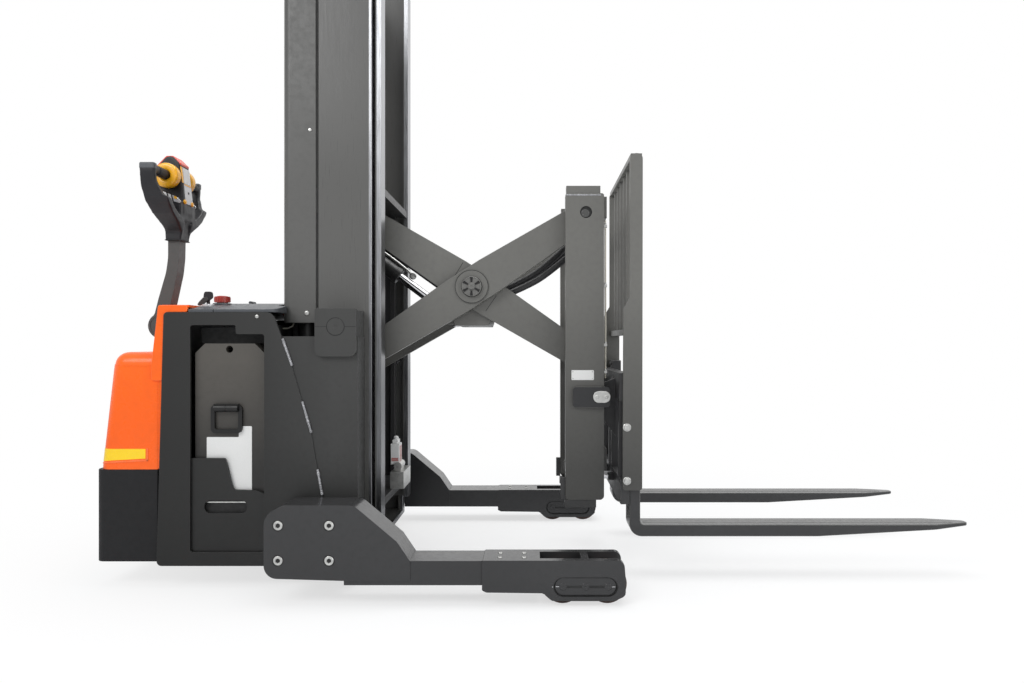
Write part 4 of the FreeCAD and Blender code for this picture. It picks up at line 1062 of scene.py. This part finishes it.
# %% Battery window
for sign, side in SIDES:
    bm = bmesh.new()
    outline(bm, rounded([(-1012, 292), (-1012, 464), (-912, 464), (-912, 498), (-871, 498),
                         (-871, 292)], 3), "y", 424.6 * sign, 426.2 * sign)
    piece("blank_plate_" + side, bm, "chassis", PLATE_WHITE, edge=0.5)
    bm = bmesh.new()
    turned(bm, (-986, 436 * sign, 555), "x",
           [(8, 0), (11.5, 1.5), (11.5, 37), (10.4, 38.5), (10.4, 40.5), (11.5, 42),
            (11.5, 76), (8, 77.5)], sides=24)
    piece("pull_ring_loop_" + side, bm, "chassis", TRAY_BLACK, smooth=35)
    bm = bmesh.new()
    bar(bm, -1012, -884, 424.8 * sign, 427.4 * sign, 259, 263.4)
    piece("trough_strip_" + side, bm, "chassis", ZINC, edge=0.5)
    bm = bmesh.new()
    bar(bm, -1016, -879, 424.2 * sign, 425.6 * sign, 226, 258)
    bar(bm, -1046, -834, 380 * sign, 382 * sign, 757, 806)
    piece("trough_shade_" + side, bm, "chassis", SHADE_AND_JOINT_DARK)
fasten("chassis_screws", "chassis", PAN, ZINC, both_ways(
    [(-847, -450, 839.5, (0, -1, 0), 6), (-723, -340, 854, (0, -1, 0), 8),
     (-713, -340, 1445, (0, -1, 0), 6)]), seed=3)
fasten("skirt_bolts", "chassis", HEX, BLACK_STEEL, both_ways(
    [(-1351.8, y, z, (-1, 0, 0), 9) for y in (-300, -90) for z in (130, 320)]), seed=4)

# %% [markdown]
# ## Chassis and mast
# The welder's work shows where plates meet: short dashes of bead down the side
# plate's front edge, a full bead over each leg's pad. The lift chains get real leaf
# plates, two sets that overlap by half a link, laid along each strand.

# %% Weld beads
# The side plate's front edge from top to bottom, and the heights between which beads run.
EDGE = [(-770, 773), (-739, 685), (-680, 479), (-647, 288)]
DASHES = ((768, 690), (574, 482), (364, 290))


def edge_x(z):
    for (x0, z0), (x1, z1) in zip(EDGE[:-1], EDGE[1:]):
        if z1 <= z <= z0:
            return x0 + (x1 - x0) * (z0 - z) / (z0 - z1)
    return EDGE[-1][0]


levels = [[top + (low - top) * k / 6 for k in range(7)] for top, low in DASHES]
dashes = [[(edge_x(z) + 1.0, -449.4, z) for z in column] for column in levels]
weld("chassis_beads", "chassis", WELD_BEAD,
     dashes + [[(-742, -451, 262.5), (-548, -451, 262.5)]], 3.6, 5.6, seed=11)
weld("frame_beads", "reach_frame", WELD_BEAD, [[(120, -247, 1252), (232, -247, 1252)]],
     3.6, 5.4, seed=12)
weld("arm_beads", "inner_arm", PAINT_EDGE,
     [[(-283, -151, 878), (-263, -151, 820), (-147, -151, 820), (-130, -151, 872)]],
     3.0, 3.0, seed=13)
follow("backrest_beads", "fork_head", WELD, RIPPLE, PAINT_EDGE,
       [[(330, y + off, z), (350, y + off, z)] for y in (-249, -149, -50, 50, 149, 249)
        for z in (1353, 806) for off in (-6.5, 6.5)], 2.6, 2.2, seed=14)

# %% Chains, bolts, hoses of the mast
CLAMP = (-601.8, 808)
HOSE_ROWS = (-75, -52, 52, 75)

follow("leaf_chain", "inner_mast", CHAIN_RUN, LINK, CHAIN,
       [[(x, y, low), (x, y, 2092)] for x, low in ((-668, 648), (-728, 1008))
        for y in (-70, 70)], 25.4, 13.1, seed=1)
fasten("mast_bolts", "chassis", HEX, ZINC,
       [(-707, y, z, (-1, 0, 0), 11) for y in (-290, -240, 240, 290)
        for z in (355, 405, 1200, 1240, 1925, 1975)], seed=5)
fasten("inner_mast_bolts", "inner_mast", HEX, ZINC,
       [(-661, y, z, (-1, 0, 0), 9) for y in (-240, -120, 120, 240) for z in (2070, 2110)],
       seed=6)
bm = bmesh.new()
for y in HOSE_ROWS:
    tube(bm, [(-750, y, 852), (-742, y, 905), (-724, y, 1000), (-719, y, 1120),
              (-719, y, 1226)], 8)
piece("mast_hoses", bm, "chassis", HOSE, smooth=60)
bm = bmesh.new()
for y in HOSE_ROWS:
    turned(bm, (-750, y, 850.4), "z", [(13, -0.4), (13, 9), (11, 10)], sides=6, flats=6)
    for x, z in ((-749, 859), (-719, 1204)):
        turned(bm, (x, y, z), "z", [(10, 0), (10, 22), (9, 24)], sides=20)
bars(bm, -732, -707.2, 39.5, 87.5, 1186, 1200)
piece("mast_hose_ends", bm, "chassis", ZINC, edge=0.8)
bm = bmesh.new()
tube(bm, [(-828, -300, 808), (-812, -300, 805), (-793, -300, 807), (-778, -300, 820),
          (-774, -300, 868)], 2.6, sides=10)
piece("cream_line", bm, "chassis", CREAM, smooth=60)
bm = bmesh.new()
bar(bm, -821.5, -812.5, -400, 400, 769, 815)
piece("deck_fold", bm, "chassis", BLACK_STEEL, edge=1.0)
# Painted shade: dark strips in the gaps between the mast's side covers and rails.
bm = bmesh.new()
bars(bm, -691, -688.4, 338.6, 340.2, 872, 1988)
piece("mast_cover_gaps", bm, "chassis", SHADE_AND_JOINT_DARK)
bm = bmesh.new()
x, z = CLAMP
discs(bm, (x, 462, z), [(26.3, -0.6), (26.3, 0.35), (28.3, 0.35), (28.3, -0.6)], 48)
for x0, x1 in ((-665.6, -629), (-574.5, -538.4)):
    bars(bm, x0, x1, 461.4, 462.3, 807.3, 808.8)
piece("clamp_lines", bm, "chassis", SHADE_AND_JOINT_DARK, smooth=30)
bm = bmesh.new()
discs(bm, (x, 461, z), [(26.2, 0), (26.2, 1.2), (25.4, 2.0), (6.0, 2.0), (4.5, 0.8)], 48)
piece("clamp_bar_ends", bm, "chassis", PAINT, smooth=30)
print("mast dressed")

# %% [markdown]
# ## The pantograph
# Six slots round a castle nut, a seam where each arm's boss was let in, and hoses
# that ride on the bodies of their own arms, so that they fold with them.

# %% Nuts, seams and hoses of the arms
HUB = Vector((-201, 949))
HOSE_STATIONS = (-150, -95, -40, 20)


def across(p, q):
    """The unit vector that stands across the line from p to q."""
    return Vector((p.y - q.y, q.x - p.x)).normalized()


def seam(bm, p, q, y, width=0.9):
    p, q = Vector(p), Vector(q)
    n = across(p, q) * width
    plates(bm, [tuple(c) for c in (p + n, q + n, q - n, p - n)], y - 0.5, y + 0.25)


bm = bmesh.new()
discs(bm, (HUB.x, 221, HUB.y), [(33.6, -8), (33.6, 0.8), (32.4, 2.0), (29.6, 2.0), (29.0, 0.6)],
      48)
discs(bm, (HUB.x, 227.6, HUB.y), [(11.6, -8), (11.6, 0.2), (10.6, 1.4), (3.4, 1.4), (2.6, 0.2)])
piece("castle_nuts", bm, "inner_arm", WARM_EDGE, smooth=30)
# Painted shade: dark plates on the nut's face stand for its six deep slots, and dark rings round
# the nut and the hub.
bm = bmesh.new()
for k in range(6):
    a = math.radians(60 * k + 90)
    d = Vector((math.cos(a), math.sin(a)))
    n = across(Vector((0, 0)), d)
    plates(bm, [tuple(HUB + d * r + n * w) for r, w in
                ((14.0, 2.6), (31.6, 4.8), (31.6, -4.8), (14.0, -2.6))], 220.6, 223.25)
for r, width, face in ((56.4, 1.5, 210.3), (35.8, 2.0, 210.3), (13.2, 1.4, 221.2)):
    discs(bm, (HUB.x, face, HUB.y), [(r, -0.6), (r, 0.3), (r - width, 0.3), (r - width, -0.6)],
          64)
piece("castle_slots", bm, "inner_arm", TRAY_BLACK, smooth=30)
bm = bmesh.new()
seam(bm, (-233.3, 1034), (-267.6, 977.3), 175)
seam(bm, (-119, 919.7), (-155.8, 867), 175)
piece("arm_seams", bm, "inner_arm", SHADE_AND_JOINT_DARK)
bm = bmesh.new()
route = [(-505, 130, 1106), (-500, 131, 1096), (-457, 132, 1050.6), (-398, 132, 1007),
         (-318, 132, 949.5), (-262, 132, 905)]
tube(bm, route, 6.5)
tube(bm, flip(route), 6.5)
piece("inner_arm_hoses", bm, "inner_arm", HOSE, smooth=60)
bm = bmesh.new()
for y, heights, (x, z), last in ((-140, (905, 922, 945, 975), (70, 1010), 1052),
                                 (-118, (925, 945, 970, 1004), (74, 1048), 1092),
                                 (-96, (925, 941, 964, 996), (74, 1036), 1078)):
    tube(bm, [(a, y, b) for a, b in zip(HOSE_STATIONS, heights)] + [(x, y, z), (122, y, last)],
         11, sides=16)
piece("outer_arm_hoses", bm, "outer_arm", HOSE, smooth=60)

# %% The reach cylinder's pipe and gland
CYLINDER_FOOT = (-596, 1087)
COS, SIN = 0.8024, 0.5968   # the cylinder's slope down towards the forks


def barrel_point(along_mm, off_mm):
    x, z = CYLINDER_FOOT
    return (x + along_mm * COS + off_mm * SIN, 0, z - along_mm * SIN + off_mm * COS)


bm = bmesh.new()
tube(bm, [barrel_point(*p) for p in ((28, 26), (38, 36), (60, 37), (120, 37), (160, 35),
                                     (176, 31))], 5, sides=14)
x, y, z = barrel_point(184, 30)
turned(bm, (x, -8, z), "y", [(9, 0), (12, 1.5), (12, 14.5), (9, 16)], sides=28)
turned(bm, (x, -11, z), "y", [(6, 0), (6, 22)], sides=6, flats=6)
piece("reach_cylinder_pipe", bm, "reach_barrel", ZINC, smooth=40)
bm = bmesh.new()
turned(bm, barrel_point(146, 0),
       (Vector((COS, 0, -SIN)), Vector((0, 1, 0)), Vector((SIN, 0, COS))),
       [(28.6, -20), (30, -19), (30, -1), (28.6, 0.4), (17.4, 0.4), (16.6, -1)], sides=40)
piece("reach_cylinder_gland", bm, "reach_barrel", BLACK_STEEL, smooth=30)
print("pantograph dressed")

# %% [markdown]
# ## Reach frame and forks
# A pale grease line climbs the reach frame's front flange in its clamps, a zinc
# keeper locks each tilt pin, and the backrest hangs on pins with washers.

# %% Reach frame
LINE_X, LINE_Y = 250, 229
FRAME_PIN = (184, 246, 1195)

bm = bmesh.new()
for y in (-LINE_Y, LINE_Y):
    tube(bm, [(LINE_X, y, 1170), (LINE_X, y, 1000), (LINE_X + 0.5, y, 800), (LINE_X, y, 690),
              (LINE_X, y, 640)], 3.2, samples=4)
piece("grease_lines", bm, "reach_frame", CREAM, smooth=60)
bm = bmesh.new()
for y in (-LINE_Y, LINE_Y):
    for z in (1150, 950, 751, 660):
        bar(bm, 243.4, 255.4, y - 7, y + 7, z - 5, z + 5)
        turned(bm, (LINE_X, y, z + 5), "z", [(4.6, 0), (4.6, 5), (3.8, 6)], sides=6, flats=6)
piece("line_clamps", bm, "reach_frame", ZINC, edge=1.0)
bm = bmesh.new()
plates(bm, box_outline(135, 210, 634, 667, 3), 249.4, 250.8)
piece("frame_plates", bm, "reach_frame", PLATE_WHITE, edge=0.4)
fasten("frame_plate_rivets", "reach_frame", PAN, ZINC, both_ways(
    [(x, -250.7, z, (0, -1, 0), 2.4) for x in (140, 205) for z in (639, 662)]), seed=8)
bm = bmesh.new()
plates(bm, box_outline(206, 264, 559, 598, 19.4, 8), 264.1, 268.5)
piece("tilt_pin_keepers", bm, "reach_frame", ZINC, edge=1.2, smooth=30)
fasten("keeper_bolts", "reach_frame", HEX, ZINC, both_ways(
    [(x, -268.4, 578.5, (0, -1, 0), 7) for x in (220, 250)]), seed=9)
# Painted shade: a dark disc stands for the recess round each frame pin's end.
bm = bmesh.new()
discs(bm, FRAME_PIN, [(20.4, -1), (20.4, 0.5), (19.6, 0.8)], 40)
piece("frame_pin_recess", bm, "reach_frame", SHADE_AND_JOINT_DARK, smooth=30)
bm = bmesh.new()
discs(bm, (181.5, 246.4, 1191.5), [(13.6, 0), (13.6, 0.8), (12.4, 1.4), (9.0, 1.4), (8.4, 0.9)],
      36)
piece("frame_pin_ends", bm, "reach_frame", PAINT_EDGE, smooth=30)
bm = bmesh.new()
plates(bm, box_outline(139.6, 262, 544.6, 611.4, 9), 263.6, 264.9)
piece("tilt_ear_faces", bm, "reach_frame", LEG_PAINT, edge=0.5)
bm = bmesh.new()
bars(bm, 112, 218, 214, 246, 208, 234.4)
bars(bm, 99, 115.2, 228, 242, 236, 308)
piece("frame_fittings", bm, "reach_frame", BLACK_STEEL, edge=1.2, smooth=30)
print("reach frame dressed")

# %% [markdown]
# Behind the reach frame the lift carriage shows the caps of its own pins, and the
# valve block beside it a pale connector with thin red lines.

# %% Carriage caps and connectors
bm = bmesh.new()
discs(bm, (-586, 242, 1195), [(30, -8), (30, 1.0), (28.6, 2.2), (8, 2.2), (7, 1.0)], 40)
for z in (290, 720):
    discs(bm, (-571, 273, z), [(40, -2), (40, 0.8), (26, 0.8), (26, -2)], 40)
piece("carriage_pin_caps", bm, "carriage", BLACK_STEEL, smooth=30)
bm = bmesh.new()
bar(bm, -503, -472, -52, 8, 322, 396)
bar(bm, -498, -478, -46, 2, 396, 410)
turned(bm, (-488, -22, 409), "z", [(9, 0), (9, 9), (6, 13)], sides=20)
piece("valve_connectors", bm, "carriage", PLATE_WHITE, edge=1.6, smooth=30)
bm = bmesh.new()
for y in (-40, -28, -16, -4):
    bar(bm, -471.9, -471.4, y - 1.2, y + 1.2, 330, 388)
    bar(bm, -500, -475, -52.5, -51.9, 345 + y / 4, 347 + y / 4)
piece("valve_connector_slots", bm, "carriage", RED)
print("carriage dressed")

# %% Fork head
bm = bmesh.new()
for z in (485.6, 313.4):
    discs(bm, (309, 346.6, z), [(13, 0), (13, 1.6), (12, 2.2), (9.4, 2.2), (9.4, 6), (8.2, 7.4)],
          28)
    bars(bm, 297, 321, 351, 353, z - 1.2, z + 1.2)
piece("backrest_pins", bm, "fork_head", ZINC, smooth=30)
bm = bmesh.new()
for y in (255, 305):
    bars(bm, 317, 321, y - 12, y + 12, 655, 690)
    for sign, _ in SIDES:
        turned(bm, (318, y * sign, 676), "x", [(6, -4), (6, 3)], sides=18)
piece("fork_latches", bm, "fork_head", BLACK_STEEL, edge=1.0)
# Paler strips along the top of each blade.
bm = bmesh.new()
bars(bm, 355, 1380, 258, 302, 168.6, 169.5)
piece("fork_wear_lines", bm, "fork_head", PAINT_EDGE, edge=0.3)
fasten("carriage_bar_bolts", "fork_head", HEX, BLACK_STEEL,
       [(286, y, z, (-1, 0, 0), 10) for y in (-160, 160) for z in (595, 635)], seed=10)
print("fork head dressed")

# %% [markdown]
# ## Straddle legs
# Socket screws sit deep in the legs' brackets, each in a recess whose shade is
# painted: a dark ring round the head and a dark hex in its socket. A dark seam
# runs up the beam where its deeper front part begins.

# %% Leg brackets
bm = bmesh.new()
# Painted shade round and in the socket screws; the seam is a dark joint.
dark = bmesh.new()
for x in (-728, -581):
    for z in (131, 232):
        discs(bm, (x, 624.6, z), [(13.4, -0.4), (13.4, 0.6), (12.2, 1.6), (7.6, 1.6), (7.2, 0.4)])
        discs(dark, (x, 624.9, z), [(7.0, -0.2), (7.0, 0.3)], 6, 6)
        discs(dark, (x, 624.2, z), [(17.4, 0), (17.4, 0.5), (13.5, 0.5), (13.5, -0.2)])
seam(dark, (-141, 60), (-141, 131), 622.1, 1.2)
piece("leg_socket_screws", bm, "chassis", ZINC, smooth=30)
piece("socket_recesses", dark, "chassis", SHADE_AND_JOINT_DARK, smooth=30)
print("brackets dressed")

# %% [markdown]
# A slot through the cheeks shows the bogie and its three axle ends. The cheeks and
# the slot's shaded rim are rings between two outlines, and rays from the bogie's
# middle find the same number of points on both.

# %% Cheeks, slots and axle ends
BOGIE_X, BOGIE_Z = 157, 56
AXLES = (92, BOGIE_X, 222)
RAYS = 96


def hit(points, angle):
    """Where a ray from the bogie's middle leaves a closed x,z outline."""
    c = Vector((BOGIE_X, BOGIE_Z))
    d = Vector((math.cos(angle), math.sin(angle)))
    best = 0.0
    for p, q in zip(points, points[1:] + points[:1]):
        p = Vector(p) - c
        e = Vector(q) - c - p
        cross = d.x * e.y - d.y * e.x
        if abs(cross) < 1e-9:
            continue
        t = (p.x * e.y - p.y * e.x) / cross
        u = (p.x * d.y - p.y * d.x) / cross
        if t > 0 and -1e-6 <= u <= 1 + 1e-6:
            best = max(best, t)
    return c + d * best


def ring_plates(bm, outer, inner, *layers):
    """Plates between two outlines, in layers of (y0, y1), on both sides."""
    edges = [[hit(points, 2 * math.pi * k / RAYS) for k in range(RAYS)]
             for points in (outer, inner)]
    for sign, _ in SIDES:
        for layer in layers:
            loops = [[bm.verts.new(at(p.x, y * sign, p.y)) for p in edge]
                     for edge in edges for y in layer]
            for a, b in ((0, 1), (1, 3), (3, 2), (2, 0)):
                for k in range(RAYS):
                    m = (k + 1) % RAYS
                    bm.faces.new((loops[a][k], loops[a][m], loops[b][m], loops[b][k]))


slot = box_outline(66, 248.5, 29, 82.5, 26.7, 12)
cheek = rounded([(36, 36.5), (60, 15.7), (240, 15.7), (272.6, 30), (272.6, 62), (262, 96),
                 (52, 96), (40, 50)], 14, 5)
wide = box_outline(63, 251, 26, 85.5, 29.7, 12)
tight = box_outline(72, 242, 35, 79, 21, 12)
rim = box_outline(64, 250.5, 27, 84.5, 28.7, 12)
bm = bmesh.new()
ring_plates(bm, cheek, slot, (499.56, 523), (603, 626.44))
piece("leg_cheeks", bm, "chassis", LEG_PAINT, smooth=30)
bm = bmesh.new()
ring_plates(bm, wide, tight, (505, 508), (617, 621))
ring_plates(bm, rim, slot, (499.52, 500.4), (625.4, 626.48))
piece("bogie_slot_shade", bm, "chassis", SHADE_AND_JOINT_DARK, smooth=30)
fasten("leg_screws", "chassis", PAN, ZINC, both_ways(
    [(x, y, 131.6, (0, 0, 1), 7) for x in (-91, -20) for y in (-590, -540)]), seed=15)
bm = bmesh.new()
for face, d in ((622.9, 1), (503.1, -1)):
    for x in AXLES:
        discs(bm, (x, face, BOGIE_Z), [(10.6, -2 * d), (10.6, 0.9 * d), (9.8, 1.5 * d),
                                       (2.4, 1.5 * d), (1.6, 0.8 * d)], 28)
piece("axle_ends", bm, "chassis", LEG_PAINT, smooth=30)
bm = bmesh.new()
for y0, y1 in ((622.6, 623.5), (502.6, 503.2)):
    bars(bm, 101, 147, y0, y1, 52.2, 58.6)
    bars(bm, 167, 213, y0, y1, 52.2, 58.6)
for y0, y1 in ((626.2, 626.48), (499.52, 499.8)):
    bars(bm, 9, 44, y0, y1, 54.6, 57.8)
    bars(bm, 250, 271, y0, y1, 54.8, 56.6)
piece("bogie_slot_lines", bm, "chassis", SHADE_AND_JOINT_DARK)
bm = bmesh.new()
bars(bm, 44, 65.5, 626.2, 626.48, 55.6, 57.0)
bars(bm, 71, 81, 623, 623.6, 55.4, 57.0)
bars(bm, 233, 243, 623, 623.6, 54.8, 56.4)
piece("bogie_bright_lines", bm, "chassis", SILVER)
print("legs dressed")

# %% [markdown]
# A hub face closes each wheel on both sides and rides on the wheel's own body, so
# that it turns with it. Then the templates have done their work and are removed.

# %% Wheel hubs
DRIVE_AXLE_Z = 112

for wheel in LOAD_WHEELS:
    sign = 1 if wheel.endswith("left") else -1
    x = AXLES[0] if "rear" in wheel else AXLES[-1]
    bm = bmesh.new()
    for face, d in ((531, -1), (595, 1)):
        d *= sign
        turned(bm, (x, face * sign, BOGIE_Z + 1), "y",
               [(38, -1 * d), (38, 0.8 * d), (34, 1.6 * d), (20, 1.6 * d), (18, 0.4 * d)])
    piece(wheel + "_hub", bm, BODY_OF[wheel], ZINC, smooth=30)
bm = bmesh.new()
discs(bm, (STEER_X, 42, DRIVE_AXLE_Z), [(78, -1), (78, 0.8), (72, 2.4), (30, 2.4), (26, 0.6)],
      40)
piece("drive_wheel_hub", bm, "drive_wheel", BLACK_STEEL, smooth=30)
for obj in TEMPLATES:
    discard(obj)
print("hubs on, templates put away")
